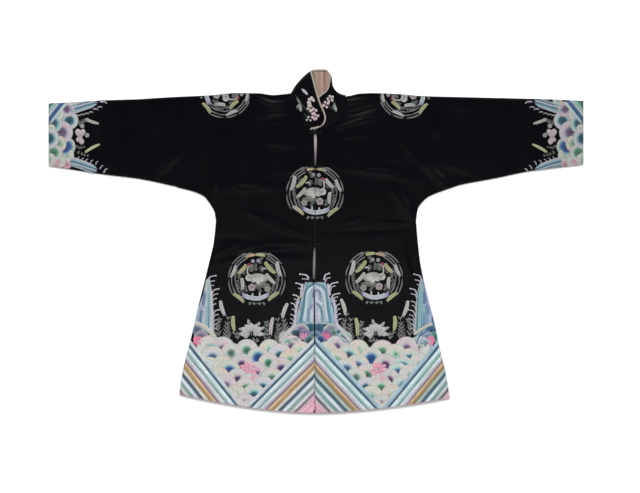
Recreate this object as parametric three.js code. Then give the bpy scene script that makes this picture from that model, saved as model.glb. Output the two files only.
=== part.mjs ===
// A short silk satin jacket of the traditional Chinese cut, laid flat with its front up.
// Millimetres, +Z up. X runs from cuff to cuff, Y from hem to collar, and Z = 0 is the surface
// that the back of the jacket lies on. Left and right are the viewer's, so left is -X.
//
// Each cloth piece is a middle surface, worked out from the outline below, that thicken() turns
// into a closed wall. The body panels fold over the shoulder, so front and back are one piece.

import * as THREE from "three";

// ---------------------------------------------------------------- driving dimensions
const HALF_SPAN = 750;          // centre front to cuff
const HEM_Y = -482;             // lowest point of the hem, at the centre
const HEM_RISE = { left: 52, right: 42 };   // how much higher the hem is at the side seam
const HEM_BOW = 1.7;            // power of the hem's curve: flat at the centre, rising outwards
const UNDERARM_Y = 58;          // where the side seam ends and the underarm curve starts
const SLEEVE_SEAM_X = 400;      // body panel to sleeve end
const NECK_Y = 314;             // front neck point
const NECK_X = -4;
const NECK_SIDE_X = { left: -70, right: 87 };
const BACK_NECK_Y = 400;        // centre of the back neckline

const CLOTH = 1.6;              // satin, interlining and body lining together
const SEAM_GAP = 0.3;
const BACK_LEVEL = CLOTH / 2;   // middle of the back layer
const FRONT_LEVEL = 4.2;        // middle of the front layer at its edges
const PUFF = 1.2;               // how much the front lies higher away from its edges
const PUFF_REACH = 110;
const TURN_STEPS = 3;           // facets round a fold or a side seam
const TURN_REACH = (FRONT_LEVEL - BACK_LEVEL) / 2 + CLOTH / 2;

const LINING_STRIP = { left: -22, right: 16, bottom: -135, top: 396, thick: 1.0 };

const COLLAR_CLOTH = 1.4;
const COLLAR_SEAM = 1.0;        // from the neckline to the foot of the band
const COLLAR_LINING_CLOTH = 1.0;
const COLLAR_SUBSTEPS = 2;
const COLLAR_RISE_END = 0.35;   // share of the collar's height in which it climbs to its level
const COLLAR_MIDDLE = { x: 8, y: 450 };   // insets of the collar's foot go towards this point
const COLLAR_REACH = 90;        // about how far the neckline is from it
const BINDING = { width: 4.8, thick: 2.0, gap: 0.95, shift: 0.5 };

const SIDES = [
  { name: "left", sign: -1 },
  { name: "right", sign: 1 },
];

// ---------------------------------------------------------------- outline tables
// Distance of the side seam from the centre line, by height.
const SIDE_SEAM = [
  { y: -440, left: 386, right: 376 },
  { y: -360, left: 373, right: 362 },
  { y: -300, left: 358.5, right: 347 },
  { y: -240, left: 343.5, right: 335 },
  { y: -180, left: 330, right: 320 },
  { y: -120, left: 315, right: 305 },
  { y: -60, left: 300.5, right: 293 },
  { y: 0, left: 287, right: 286 },
  { y: UNDERARM_Y, left: 281, right: 281 },
];
// Height of the lower edge, from the underarm out to the cuff, by reach from the centre line.
const UNDERSIDE = [
  { reach: 281, left: UNDERARM_Y, right: UNDERARM_Y },
  { reach: 285, left: 83, right: 88 },
  { reach: 292, left: 97, right: 103 },
  { reach: 303, left: 114, right: 116 },
  { reach: 318, left: 130, right: 128 },
  { reach: 350, left: 143.5, right: 141.5 },
  { reach: 400, left: 155.5, right: 157.5 },
  { reach: 500, left: 176, right: 176.5 },
  { reach: 600, left: 188.5, right: 197 },
  { reach: 700, left: 204, right: 210 },
  { reach: HALF_SPAN, left: 212, right: 216 },
];
// Height of the shoulder and sleeve fold, with a soft dip beside the collar.
const SHOULDER = [
  { reach: 60, left: 418, right: 412 },
  { reach: 90, left: 414, right: 409 },
  { reach: 122, left: 411.5, right: 415.5 },
  { reach: 160, left: 416.5, right: 417 },
  { reach: 225, left: 417, right: 414.5 },
  { reach: 300, left: 410.5, right: 408.5 },
  { reach: 400, left: 406, right: 406 },
  { reach: 500, left: 400, right: 403.5 },
  { reach: 600, left: 396.5, right: 401 },
  { reach: 700, left: 390, right: 397.5 },
  { reach: HALF_SPAN, left: 388, right: 394.7 },
];
// The centre front: where its middle runs and how far its two edges stand apart.
const OPENING = [
  { y: -482, middle: -3, width: 0.6 },
  { y: -300, middle: -3, width: 0.6 },
  { y: -276, middle: -3.5, width: 3 },
  { y: -150, middle: -5, width: 3 },
  { y: -114, middle: -6.5, width: 1 },
  { y: -104, middle: -6, width: 5.5 },
  { y: -60, middle: -5, width: 7 },
  { y: -20, middle: -4, width: 5 },
  { y: -8, middle: -3, width: 0.6 },
  { y: 204, middle: -2.5, width: 0.6 },
  { y: 216, middle: -2, width: 4.5 },
  { y: 260, middle: -1.5, width: 7 },
  { y: 300, middle: -2, width: 8 },
  { y: NECK_Y, middle: NECK_X, width: 4 },
];
// The largest soft folds of the front: centre, turn from the X axis, length, width and height.
const FOLDS = [
  { x: -188, y: 150, turn: 0, long: 150, wide: 26, high: 1.1 },
  { x: -110, y: 50, turn: -23, long: 130, wide: 24, high: 1.2 },
  { x: 178, y: 192, turn: -9, long: 230, wide: 26, high: 1.2 },
  { x: 336, y: 190, turn: -36, long: 130, wide: 24, high: 1.2 },
  { x: -420, y: 222, turn: 47, long: 110, wide: 24, high: 1.1 },
  { x: -190, y: -60, turn: 0, long: 190, wide: 26, high: 0.9 },
];
// Heights of the rows of a body panel, from hem to shoulder.
const BODY_ROWS = [
  -482, -445, -400, -350, -300, -276, -214, -150, -114, -104, -60, -20, -8, 30,
  UNDERARM_Y, 84, 99, 113, 126, 138, 147, 155.5,
  185, 204, 216, 260, 300, NECK_Y, 317, 323, 333, 346, 365, 388, 402, 408, 412, 415, 417,
];
const SLEEVE_FOOT_ROW = 155.5;  // from this row up, a panel ends at the sleeve
const SLOPE_FROM_ROW = 320;     // from this row up, rows follow the shoulder's slope
const TOP_ROW = BODY_ROWS[BODY_ROWS.length - 1];
const NECK_ROUNDS = 12;         // rounds that find where a sloping row meets the neckline
const BODY_COLUMNS = 7;
const SLEEVE_ROWS = 6;
const SLEEVE_COLUMNS = 6;

// The collar lies in three bands, the two fronts over the back, joined by a fold at each side.
// Rows go round the neck, from the left front end by the back to the right front end. along is
// the place on the neckline: -1 and 1 are the front neck point, -0.5 and 0.5 the sides, 0 the
// centre back. inset is how far the band's foot stays inside the neckline, x, y are its free
// edge, base and free are the heights of the satin at its two edges, and bow is how far the band
// curves aside, leftwards, between them.
const COLLAR = {
  left: [
    { along: -0.985, inset: 0.1, base: 8.2, x: 7, y: 321, free: 8.7, bow: 0 },
    { along: -0.94, inset: 0.1, base: 8.0, x: 18, y: 330, free: 8.7, bow: 0 },
    { along: -0.86, inset: 0.1, base: 7.4, x: 22.5, y: 344, free: 8.7, bow: 0 },
    { along: -0.77, inset: 0.1, base: 6.0, x: 19, y: 361, free: 8.7, bow: 0 },
    { along: -0.68, inset: 0.1, base: 5.2, x: 8, y: 386, free: 8.7, bow: 0 },
    { along: -0.6, inset: 0.4, base: 5.8, x: -3, y: 416, free: 8.7, bow: 0 },
    { along: -0.51, inset: 2.6, base: 6.6, x: -19.5, y: 466, free: 8.7, bow: 0 },
  ],
  back: [
    { along: -0.49, inset: 2.6, base: 1.0, x: -19, y: 472.5, free: 1.0, bow: 0 },
    { along: -0.3, inset: 1.6, base: 1.0, x: -8, y: 475.8, free: 1.0, bow: 0 },
    { along: 0.0, inset: 0.5, base: 1.0, x: 10, y: 476.2, free: 1.0, bow: 8 },
    { along: 0.3, inset: 1.2, base: 1.0, x: 29, y: 475, free: 1.0, bow: 15 },
    { along: 0.49, inset: 2.6, base: 1.0, x: 42, y: 460, free: 1.0, bow: 15 },
  ],
  right: [
    { along: 0.51, inset: 2.6, base: 6.4, x: 41.5, y: 459, free: 6.0, bow: 15 },
    { along: 0.56, inset: 0.8, base: 6.0, x: 38, y: 436, free: 6.0, bow: 11 },
    { along: 0.62, inset: 0.8, base: 5.6, x: 31, y: 420, free: 5.8, bow: 5 },
    { along: 0.7, inset: 0.1, base: 5.0, x: 14, y: 406, free: 5.5, bow: 1 },
    { along: 0.8, inset: 0.1, base: 4.9, x: -2, y: 384, free: 5.5, bow: 0 },
    { along: 0.89, inset: 0.1, base: 5.2, x: -7, y: 356, free: 5.5, bow: 0 },
    { along: 0.96, inset: 0.1, base: 5.3, x: -5, y: 333, free: 5.5, bow: 0 },
  ],
};

// Frog closures. reach is how far each strap goes from the knot.
const FROGS = [
  { name: "frog_neck", x: -3, y: 305, reach: 19 },
  { name: "frog_chest", x: -2.5, y: 210, reach: 20 },
  { name: "frog_waist", x: -3, y: -10, reach: 23 },
  { name: "frog_lower", x: -6.5, y: -110, reach: 28 },
];
const CORD = { radius: 1.2, sides: 6 };
// The loop's eye round the knot's neck. mouth is half the angle that it leaves open.
const LOOP = { radius: 4.0, mouth: 0.45, steps: 8, legEnd: 6.5, legShares: [0, 0.33, 0.66, 1] };
const STRAP = { halfWidth: 2.6, halfHeight: 1.1 };
const KNOT = { radius: 4.8, halfHeight: 2.8, neck: 2.0, latitudes: [-45, -15, 15, 45, 75] };

// ---------------------------------------------------------------- small mathematics
const lerp = (a, b, t) => a + (b - a) * t;
const clamp01 = (t) => Math.min(1, Math.max(0, t));

function smoothstep(low, high, value) {
  const t = clamp01((value - low) / (high - low));
  return t * t * (3 - 2 * t);
}

// A smooth function through a table's rows: cubic pieces whose slopes come from the neighbours,
// limited so that the curve never overshoots between two rows.
function curveThrough(rows, key, column) {
  const at = rows.map((row) => row[key]);
  const value = rows.map((row) => row[column]);
  const secant = at.slice(1).map((a, i) => (value[i + 1] - value[i]) / (a - at[i]));
  const slope = value.map((_, i) => {
    if (i === 0) return secant[0];
    if (i === value.length - 1) return secant[i - 1];
    if (secant[i - 1] * secant[i] <= 0) return 0;
    return 2 / (1 / secant[i - 1] + 1 / secant[i]);
  });
  return (x) => {
    const inside = Math.min(at[at.length - 1], Math.max(at[0], x));
    let i = 0;
    while (i < at.length - 2 && inside > at[i + 1]) i += 1;
    const step = at[i + 1] - at[i];
    const t = (inside - at[i]) / step;
    const t2 = t * t;
    const t3 = t2 * t;
    return (2 * t3 - 3 * t2 + 1) * value[i] + (t3 - 2 * t2 + t) * step * slope[i]
      + (3 * t2 - 2 * t3) * value[i + 1] + (t3 - t2) * step * slope[i + 1];
  };
}

const openingMiddle = curveThrough(OPENING, "y", "middle");
const openingWidth = curveThrough(OPENING, "y", "width");
const outline = {};
for (const { name } of SIDES) {
  outline[name] = {
    seam: curveThrough(SIDE_SEAM, "y", name),
    under: curveThrough(UNDERSIDE, "reach", name),
    shoulder: curveThrough(SHOULDER, "reach", name),
  };
}

// Reach of the underarm curve at a height: the underside table read the other way, by halving.
function underarmReach(name, y) {
  let low = UNDERSIDE[0].reach;
  let high = HALF_SPAN;
  for (let i = 0; i < 40; i += 1) {
    const middle = (low + high) / 2;
    if (outline[name].under(middle) < y) low = middle;
    else high = middle;
  }
  return (low + high) / 2;
}

function outerReach(name, y) {
  if (y <= UNDERARM_Y) return outline[name].seam(y);
  return Math.min(SLEEVE_SEAM_X, underarmReach(name, y));
}

// Height of the front's middle surface above the table.
function frontHeight(x, y) {
  const side = x < 0 ? "left" : "right";
  const reach = Math.abs(x);
  const fromTop = outline[side].shoulder(reach) - y;
  const fromBelow = reach > UNDERSIDE[0].reach && y > UNDERARM_Y
    ? y - outline[side].under(reach)
    : (outline[side].seam(Math.min(y, UNDERARM_Y)) - reach) + Math.max(0, y - UNDERARM_Y);
  const inward = Math.max(0, Math.min(fromTop, fromBelow));
  const away = smoothstep(0, PUFF_REACH, inward);
  let height = FRONT_LEVEL + PUFF * away;
  for (const fold of FOLDS) {
    const turn = THREE.MathUtils.degToRad(fold.turn);
    const dx = x - fold.x;
    const dy = y - fold.y;
    const alongFold = (dx * Math.cos(turn) + dy * Math.sin(turn)) / (fold.long / 2);
    const acrossFold = (dy * Math.cos(turn) - dx * Math.sin(turn)) / (fold.wide / 2);
    height += away * fold.high * Math.exp(-(alongFold ** 2) - acrossFold ** 2);
  }
  return height;
}

// A point of the neckline. along is -1 and 1 at the front neck point and 0 at the centre back.
function neckline(along) {
  const side = along < 0 ? "left" : "right";
  const sideX = NECK_SIDE_X[side];
  const sideY = outline[side].shoulder(Math.abs(sideX)) - TURN_REACH;
  const share = Math.abs(along);
  if (share >= 0.5) {
    const angle = (share - 0.5) * Math.PI;
    return {
      x: NECK_X + (sideX - NECK_X) * Math.cos(angle),
      y: sideY - (sideY - NECK_Y) * Math.sin(angle),
    };
  }
  const angle = (0.5 - share) * Math.PI;
  const backX = NECK_X * Math.sin(angle);
  return {
    x: backX + (sideX - backX) * Math.cos(angle),
    y: sideY - (sideY - BACK_NECK_Y) * Math.sin(angle),
  };
}

// X of a body panel's inner edge at a height: opening or centre back seam, then neckline.
function innerEdge(side, layer, y) {
  const sideX = NECK_SIDE_X[side.name];
  const sideY = outline[side.name].shoulder(Math.abs(sideX)) - TURN_REACH;
  const lowest = layer === "front" ? NECK_Y : BACK_NECK_Y;
  if (y > lowest) {
    const climb = clamp01((sideY - y) / (sideY - lowest));
    const start = layer === "front" ? NECK_X : 0;
    return start + (sideX - start) * Math.sqrt(1 - climb * climb);
  }
  if (layer === "front") return openingMiddle(y) + side.sign * openingWidth(y) / 2;
  return side.sign * SEAM_GAP / 2;
}

// ---------------------------------------------------------------- walls
class Sheet {
  constructor() {
    this.points = [];
    this.quads = [];
  }

  add(x, y, z) {
    this.points.push(new THREE.Vector3(x, y, z));
    return this.points.length - 1;
  }

  quad(a, b, c, d) {
    this.quads.push([a, b, c, d]);
  }

  // Joins two rows of equal length into a strip of quads.
  strip(rowA, rowB) {
    for (let i = 0; i + 1 < rowA.length; i += 1) {
      this.quad(rowA[i], rowA[i + 1], rowB[i + 1], rowB[i]);
    }
  }
}

// Unit normals at the points of a sheet: the mean of the faces round each point.
function sheetNormals(sheet) {
  const normals = sheet.points.map(() => new THREE.Vector3());
  const one = new THREE.Vector3();
  const two = new THREE.Vector3();
  for (const [a, b, c, d] of sheet.quads) {
    one.subVectors(sheet.points[c], sheet.points[a]);
    two.subVectors(sheet.points[d], sheet.points[b]);
    const face = one.clone().cross(two).normalize();
    for (const index of [a, b, c, d]) normals[index].add(face);
  }
  return normals.map((normal) => normal.normalize());
}

// A closed wall: the sheet moved half its thickness both ways, with a rim round every free edge.
// Edges at a reach listed in squareAt are cut square to the X axis.
function thicken(sheet, thickness, squareAt = [], normals = sheetNormals(sheet)) {
  sheet.points.forEach((point, i) => {
    if (squareAt.some((reach) => Math.abs(Math.abs(point.x) - reach) < 1e-6)) {
      normals[i].setX(0).normalize();
    }
  });
  const count = sheet.points.length;
  const positions = [];
  for (const half of [thickness / 2, -thickness / 2]) {
    sheet.points.forEach((point, i) => {
      const moved = point.clone().addScaledVector(normals[i], half);
      positions.push(moved.x, moved.y, moved.z);
    });
  }
  const index = [];
  const face = (a, b, c) => index.push(a, b, c);
  const edges = new Map();
  for (const [a, b, c, d] of sheet.quads) {
    face(a, b, c);
    face(a, c, d);
    face(a + count, c + count, b + count);
    face(a + count, d + count, c + count);
    for (const [from, to] of [[a, b], [b, c], [c, d], [d, a]]) {
      if (edges.has(`${to}_${from}`)) edges.delete(`${to}_${from}`);
      else edges.set(`${from}_${to}`, [from, to]);
    }
  }
  for (const [from, to] of edges.values()) {
    face(from, from + count, to + count);
    face(from, to + count, to);
  }
  return solid(positions, index);
}

function solid(positions, index) {
  const geometry = new THREE.BufferGeometry();
  geometry.setAttribute("position", new THREE.Float32BufferAttribute(positions, 3));
  geometry.setIndex(index);
  geometry.computeVertexNormals();
  return geometry;
}

// Rows of points that turn from the front layer's edge to the back layer's edge, half a circle
// that bulges along outward(i), a unit vector in the plane of the table.
function turnRows(sheet, frontRow, backRow, outward) {
  const rows = [frontRow];
  for (let step = 1; step < TURN_STEPS; step += 1) {
    const angle = (Math.PI * step) / TURN_STEPS;
    rows.push(frontRow.map((frontIndex, i) => {
      const front = sheet.points[frontIndex];
      const back = sheet.points[backRow[i]];
      const radius = (front.z - back.z) / 2;
      const bulge = outward(i).multiplyScalar(radius * Math.sin(angle));
      const middle = (1 - Math.cos(angle)) / 2;
      return sheet.add(
        lerp(front.x, back.x, middle) + bulge.x,
        lerp(front.y, back.y, middle) + bulge.y,
        (front.z + back.z) / 2 + radius * Math.cos(angle),
      );
    }));
  }
  rows.push(backRow);
  return rows;
}

// Outward unit vector at point i of an edge, square to the edge in the plane of the table.
function edgeOutward(sheet, row, sign) {
  return (i) => {
    const before = sheet.points[row[Math.max(0, i - 1)]];
    const after = sheet.points[row[Math.min(row.length - 1, i + 1)]];
    return new THREE.Vector3((after.y - before.y) * sign, (before.x - after.x) * sign, 0).normalize();
  };
}

// ---------------------------------------------------------------- body panels
// A place on a body panel. row is the height that the row would have on a straight jacket; the
// hem's bow and the shoulder's slope bend it. across runs from the inner edge to the outer one.
function bodyPoint(side, layer, row, across) {
  const curves = outline[side.name];
  const bow = clamp01((UNDERARM_Y - row) / (UNDERARM_Y - HEM_Y));
  const rise = HEM_RISE[side.name] * bow;
  const onSleeve = row >= SLEEVE_FOOT_ROW;
  const slope = smoothstep(SLOPE_FROM_ROW, TOP_ROW, row);
  const fall = (x) => (curves.shoulder(Math.abs(x)) - TURN_REACH - TOP_ROW) * slope;
  let inner = NECK_SIDE_X[side.name];
  for (let i = 0; i < NECK_ROUNDS; i += 1) inner = innerEdge(side, layer, row + fall(inner));
  const outer = side.sign * (onSleeve
    ? SLEEVE_SEAM_X
    : outerReach(side.name, row + rise) - TURN_REACH);
  const x = lerp(inner, outer, across);
  const foot = curves.under(SLEEVE_SEAM_X) + TURN_REACH - SLEEVE_FOOT_ROW;
  const lift = onSleeve ? foot * (1 - slope) * across : 0;
  return { x, y: row + rise * across ** HEM_BOW + fall(x) + lift };
}

function bodyPanel(side) {
  const sheet = new Sheet();
  const rows = { front: [], back: [] };
  for (const layer of ["front", "back"]) {
    for (const row of BODY_ROWS) {
      const line = [];
      for (let column = 0; column <= BODY_COLUMNS; column += 1) {
        const { x, y } = bodyPoint(side, layer, row, column / BODY_COLUMNS);
        line.push(sheet.add(x, y, layer === "front" ? frontHeight(x, y) : BACK_LEVEL));
      }
      rows[layer].push(line);
    }
  }
  for (let i = 0; i + 1 < BODY_ROWS.length; i += 1) {
    sheet.strip(rows.front[i], rows.front[i + 1]);
    sheet.strip(rows.back[i + 1], rows.back[i]);
  }
  // The side seam and underarm, from the hem up to the sleeve.
  const seamRows = BODY_ROWS.filter((row) => row <= SLEEVE_FOOT_ROW).length;
  const frontSide = rows.front.slice(0, seamRows).map((line) => line[BODY_COLUMNS]);
  const backSide = rows.back.slice(0, seamRows).map((line) => line[BODY_COLUMNS]);
  const square = edgeOutward(sheet, frontSide, side.sign);
  const outward = (i) => (i === seamRows - 1 ? new THREE.Vector3(0, -1, 0) : square(i));
  const sideRows = turnRows(sheet, frontSide, backSide, outward);
  for (let i = 0; i + 1 < sideRows.length; i += 1) sheet.strip(sideRows[i + 1], sideRows[i]);
  // The fold over the shoulder, from the neck to the sleeve.
  const frontTop = rows.front[rows.front.length - 1];
  const backTop = rows.back[rows.back.length - 1];
  const foldRows = turnRows(sheet, frontTop, backTop, () => new THREE.Vector3(0, 1, 0));
  for (let i = 0; i + 1 < foldRows.length; i += 1) sheet.strip(foldRows[i], foldRows[i + 1]);
  return thicken(sheet, CLOTH, [SLEEVE_SEAM_X]);
}

// ---------------------------------------------------------------- sleeve ends
function sleeveEnd(side) {
  const sheet = new Sheet();
  const curves = outline[side.name];
  const start = SLEEVE_SEAM_X + SEAM_GAP;
  const rows = { front: [], back: [] };
  for (const layer of ["front", "back"]) {
    for (let row = 0; row <= SLEEVE_ROWS; row += 1) {
      const line = [];
      for (let column = 0; column <= SLEEVE_COLUMNS; column += 1) {
        const reach = lerp(start, HALF_SPAN, column / SLEEVE_COLUMNS);
        const low = curves.under(reach) + TURN_REACH;
        const high = curves.shoulder(reach) - TURN_REACH;
        const x = side.sign * reach;
        const y = lerp(low, high, row / SLEEVE_ROWS);
        line.push(sheet.add(x, y, layer === "front" ? frontHeight(x, y) : BACK_LEVEL));
      }
      rows[layer].push(line);
    }
  }
  for (let i = 0; i < SLEEVE_ROWS; i += 1) {
    sheet.strip(rows.front[i], rows.front[i + 1]);
    sheet.strip(rows.back[i + 1], rows.back[i]);
  }
  const down = () => new THREE.Vector3(0, -1, 0);
  const up = () => new THREE.Vector3(0, 1, 0);
  const lower = turnRows(sheet, rows.front[0], rows.back[0], down);
  const upper = turnRows(sheet, rows.front[SLEEVE_ROWS], rows.back[SLEEVE_ROWS], up);
  for (let i = 0; i < TURN_STEPS; i += 1) {
    sheet.strip(lower[i + 1], lower[i]);
    sheet.strip(upper[i], upper[i + 1]);
  }
  return thicken(sheet, CLOTH, [start, HALF_SPAN]);
}

// ---------------------------------------------------------------- lining strip
// The back's lining, where it shows through the open centre front.
function liningStrip() {
  const sheet = new Sheet();
  const { left, right, bottom, top, thick } = LINING_STRIP;
  const level = CLOTH + SEAM_GAP + thick / 2;
  const rows = [bottom, lerp(bottom, top, 0.5), top].map((y) => (
    [left, right].map((x) => sheet.add(x, y, level))
  ));
  sheet.strip(rows[0], rows[1]);
  sheet.strip(rows[1], rows[2]);
  return thicken(sheet, thick);
}

// ---------------------------------------------------------------- collar
// One column of a table, read smoothly at a place between its rows.
function between(rows, column, place) {
  const i = Math.min(rows.length - 2, Math.floor(place));
  const t = place - i;
  const before = rows[Math.max(0, i - 1)][column];
  const from = rows[i][column];
  const to = rows[i + 1][column];
  const after = rows[Math.min(rows.length - 1, i + 2)][column];
  return 0.5 * (2 * from + (to - before) * t
    + (2 * before - 5 * from + 4 * to - after) * t * t
    + (3 * from - before - 3 * to + after) * t * t * t);
}

const COLLAR_ACROSS = [0, 0.12, 0.24, COLLAR_RISE_END, 1];

// The points of one band, a line for each station, from its foot to its free edge. beyond adds
// points that carry the line on past the free edge.
function bandLines(sheet, rows, beyond) {
  const steps = (rows.length - 1) * COLLAR_SUBSTEPS;
  const lines = [];
  for (let step = 0; step <= steps; step += 1) {
    const read = (column) => between(rows, column, step / COLLAR_SUBSTEPS);
    const seam = neckline(read("along"));
    const free = new THREE.Vector3(read("x"), read("y"), read("free"));
    const toFree = new THREE.Vector2(free.x - seam.x, free.y - seam.y).normalize();
    const foot = new THREE.Vector2(seam.x, seam.y)
      .addScaledVector(toFree, COLLAR_SEAM)
      .lerp(new THREE.Vector2(COLLAR_MIDDLE.x, COLLAR_MIDDLE.y), read("inset") / COLLAR_REACH);
    const aside = new THREE.Vector2(-toFree.y, toFree.x).multiplyScalar(4 * read("bow"));
    const place = (share) => new THREE.Vector3(
      lerp(foot.x, free.x, share) + aside.x * share * (1 - share),
      lerp(foot.y, free.y, share) + aside.y * share * (1 - share),
      lerp(read("base"), free.z, smoothstep(0, COLLAR_RISE_END, share)),
    );
    const points = COLLAR_ACROSS.map(place);
    const outward = free.clone().sub(place(0.95)).setZ(0).normalize();
    for (const distance of beyond) points.push(free.clone().addScaledVector(outward, distance));
    lines.push(points.map((point) => sheet.add(point.x, point.y, point.z)));
  }
  return lines;
}

// All lines of the collar round the neck, with the two folds.
function collarSheet(beyond) {
  const sheet = new Sheet();
  const left = bandLines(sheet, COLLAR.left, beyond);
  const back = bandLines(sheet, COLLAR.back, beyond);
  const right = bandLines(sheet, COLLAR.right, beyond);
  const leftEnd = left[left.length - 1];
  const backEnd = back[back.length - 1];
  const leftFold = turnRows(sheet, leftEnd, back[0], edgeOutward(sheet, leftEnd, -1));
  const rightFold = turnRows(sheet, right[0], backEnd, edgeOutward(sheet, right[0], 1)).reverse();
  const lines = [...left, ...leftFold.slice(1, -1), ...back, ...rightFold.slice(1, -1), ...right];
  return { sheet, lines };
}

// The wall between two columns of the collar's lines, moved along the normals by shift.
function collarWall(first, last, thickness, shift) {
  const { sheet, lines } = collarSheet([BINDING.gap, BINDING.gap + BINDING.width]);
  const whole = new Sheet();
  whole.points = sheet.points;
  for (let i = 0; i + 1 < lines.length; i += 1) whole.strip(lines[i], lines[i + 1]);
  const normals = sheetNormals(whole);
  const wall = new Sheet();
  const wallNormals = [];
  const kept = lines.map((line) => line.slice(first, last + 1).map((index) => {
    const point = sheet.points[index].clone().addScaledVector(normals[index], shift);
    wallNormals.push(normals[index]);
    return wall.add(point.x, point.y, point.z);
  }));
  for (let i = 0; i + 1 < kept.length; i += 1) wall.strip(kept[i], kept[i + 1]);
  return thicken(wall, thickness, [], wallNormals);
}

// ---------------------------------------------------------------- frog closures
// A closed solid through rings of CORD.sides points. Each ring is an oval round a centre, with
// two half axes, given so that sideways x upward points against the way the rings go.
function loft(rings) {
  const { sides } = CORD;
  const positions = [];
  const index = [];
  for (const { centre, sideways, upward } of rings) {
    for (let k = 0; k < sides; k += 1) {
      const angle = (2 * Math.PI * k) / sides;
      const corner = centre.clone()
        .addScaledVector(sideways, Math.cos(angle))
        .addScaledVector(upward, Math.sin(angle));
      positions.push(corner.x, corner.y, corner.z);
    }
  }
  for (let i = 0; i + 1 < rings.length; i += 1) {
    for (let k = 0; k < sides; k += 1) {
      const a = i * sides + k;
      const b = i * sides + ((k + 1) % sides);
      index.push(a, b + sides, b, a, a + sides, b + sides);
    }
  }
  const last = (rings.length - 1) * sides;
  for (let k = 1; k + 1 < sides; k += 1) {
    index.push(0, k, k + 1);
    index.push(last, last + k + 1, last + k);
  }
  return solid(positions, index);
}

// Round rings along a path that stays nearly level.
function cordRings(path) {
  const up = new THREE.Vector3(0, 0, 1);
  return path.map((centre, i) => {
    const ahead = path[Math.min(path.length - 1, i + 1)];
    const behind = path[Math.max(0, i - 1)];
    const along = ahead.clone().sub(behind).normalize();
    const sideways = along.clone().cross(up).normalize();
    const upward = sideways.clone().cross(along).normalize();
    return {
      centre,
      sideways: sideways.multiplyScalar(CORD.radius),
      upward: upward.multiplyScalar(CORD.radius),
    };
  });
}

// Top of the front's cloth at a place.
const frontTop = (x, y) => frontHeight(x, y) + CLOTH / 2;

// The loop half: one cord that runs in from the left, round the knot's neck, and back.
function frogLoop(frog) {
  const lie = (x, y, climb) => new THREE.Vector3(
    x, y, frontTop(x, y) + SEAM_GAP + CORD.radius + climb,
  );
  const legGap = CORD.radius + SEAM_GAP / 2;
  const legStart = frog.x - frog.reach;
  const legEnd = frog.x - LOOP.legEnd;
  const leg = (shift) => LOOP.legShares.map((share) => (
    lie(lerp(legStart, legEnd, share), frog.y + shift, 0)
  ));
  const overStrap = 2 * STRAP.halfHeight + SEAM_GAP;
  const eye = [];
  for (let step = 0; step <= LOOP.steps; step += 1) {
    const angle = Math.PI - LOOP.mouth - (2 * (Math.PI - LOOP.mouth) * step) / LOOP.steps;
    const x = frog.x + LOOP.radius * Math.cos(angle);
    const climb = overStrap * smoothstep(-LOOP.radius, LOOP.radius * 0.3, x - frog.x);
    eye.push(lie(x, frog.y + LOOP.radius * Math.sin(angle), climb));
  }
  return loft(cordRings([...leg(legGap), ...eye, ...leg(-legGap).reverse()]));
}

// The knot half: a flat double cord from the right that rises through the loop and ends in a
// round knot, which swells out over the loop.
function frogKnot(frog) {
  const ground = frontTop(frog.x + frog.reach, frog.y) + SEAM_GAP;
  const strapTop = ground + 2 * STRAP.halfHeight;
  const loopTop = strapTop + SEAM_GAP + 2 * CORD.radius;
  const knotZ = loopTop + SEAM_GAP + KNOT.halfHeight * Math.SQRT1_2;
  const level = (z, radius) => ({
    centre: new THREE.Vector3(frog.x, frog.y, z),
    sideways: new THREE.Vector3(0, radius, 0),
    upward: new THREE.Vector3(radius, 0, 0),
  });
  const strap = [0, 0.5, 1].map((share) => ({
    centre: new THREE.Vector3(
      lerp(frog.x + frog.reach, frog.x + KNOT.neck, share), frog.y, ground + STRAP.halfHeight,
    ),
    sideways: new THREE.Vector3(0, STRAP.halfWidth, 0),
    upward: new THREE.Vector3(0, 0, STRAP.halfHeight),
  }));
  const knot = KNOT.latitudes.map((degrees) => {
    const turn = THREE.MathUtils.degToRad(degrees);
    return level(knotZ + KNOT.halfHeight * Math.sin(turn), KNOT.radius * Math.cos(turn));
  });
  return loft([
    ...strap, level(strapTop + SEAM_GAP, KNOT.neck), level(loopTop, KNOT.neck), ...knot,
  ]);
}

// ---------------------------------------------------------------- the jacket
const satin = new THREE.MeshStandardMaterial({ color: 0x101014, roughness: 0.38, metalness: 0 });
const liningSilk = new THREE.MeshStandardMaterial({ color: 0x9a8078, roughness: 0.6, metalness: 0 });
const pipingSilk = new THREE.MeshStandardMaterial({ color: 0xa59b91, roughness: 0.5, metalness: 0 });
const cordSatin = new THREE.MeshStandardMaterial({ color: 0x0c0c10, roughness: 0.45, metalness: 0 });

const jacket = new THREE.Group();

function piece(name, geometry, material) {
  const mesh = new THREE.Mesh(geometry, material);
  mesh.name = name;
  jacket.add(mesh);
}

for (const side of SIDES) {
  piece(`body_${side.name}`, bodyPanel(side), satin);
  piece(`sleeve_${side.name}`, sleeveEnd(side), satin);
}
piece("lining_back", liningStrip(), liningSilk);

// The lining lies inside the ring, which is against the sheet's normals.
const freeEdge = COLLAR_ACROSS.length - 1;
const liningShift = COLLAR_CLOTH / 2 + SEAM_GAP + COLLAR_LINING_CLOTH / 2;
piece("collar_shell", collarWall(0, freeEdge, COLLAR_CLOTH, 0), satin);
piece("collar_lining", collarWall(0, freeEdge, COLLAR_LINING_CLOTH, -liningShift), liningSilk);
piece(
  "collar_binding",
  collarWall(freeEdge + 1, freeEdge + 2, BINDING.thick, -BINDING.shift),
  pipingSilk,
);

for (const frog of FROGS) {
  piece(`${frog.name}_loop`, frogLoop(frog), cordSatin);
  piece(`${frog.name}_knot`, frogKnot(frog), cordSatin);
}

export default jacket;
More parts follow.
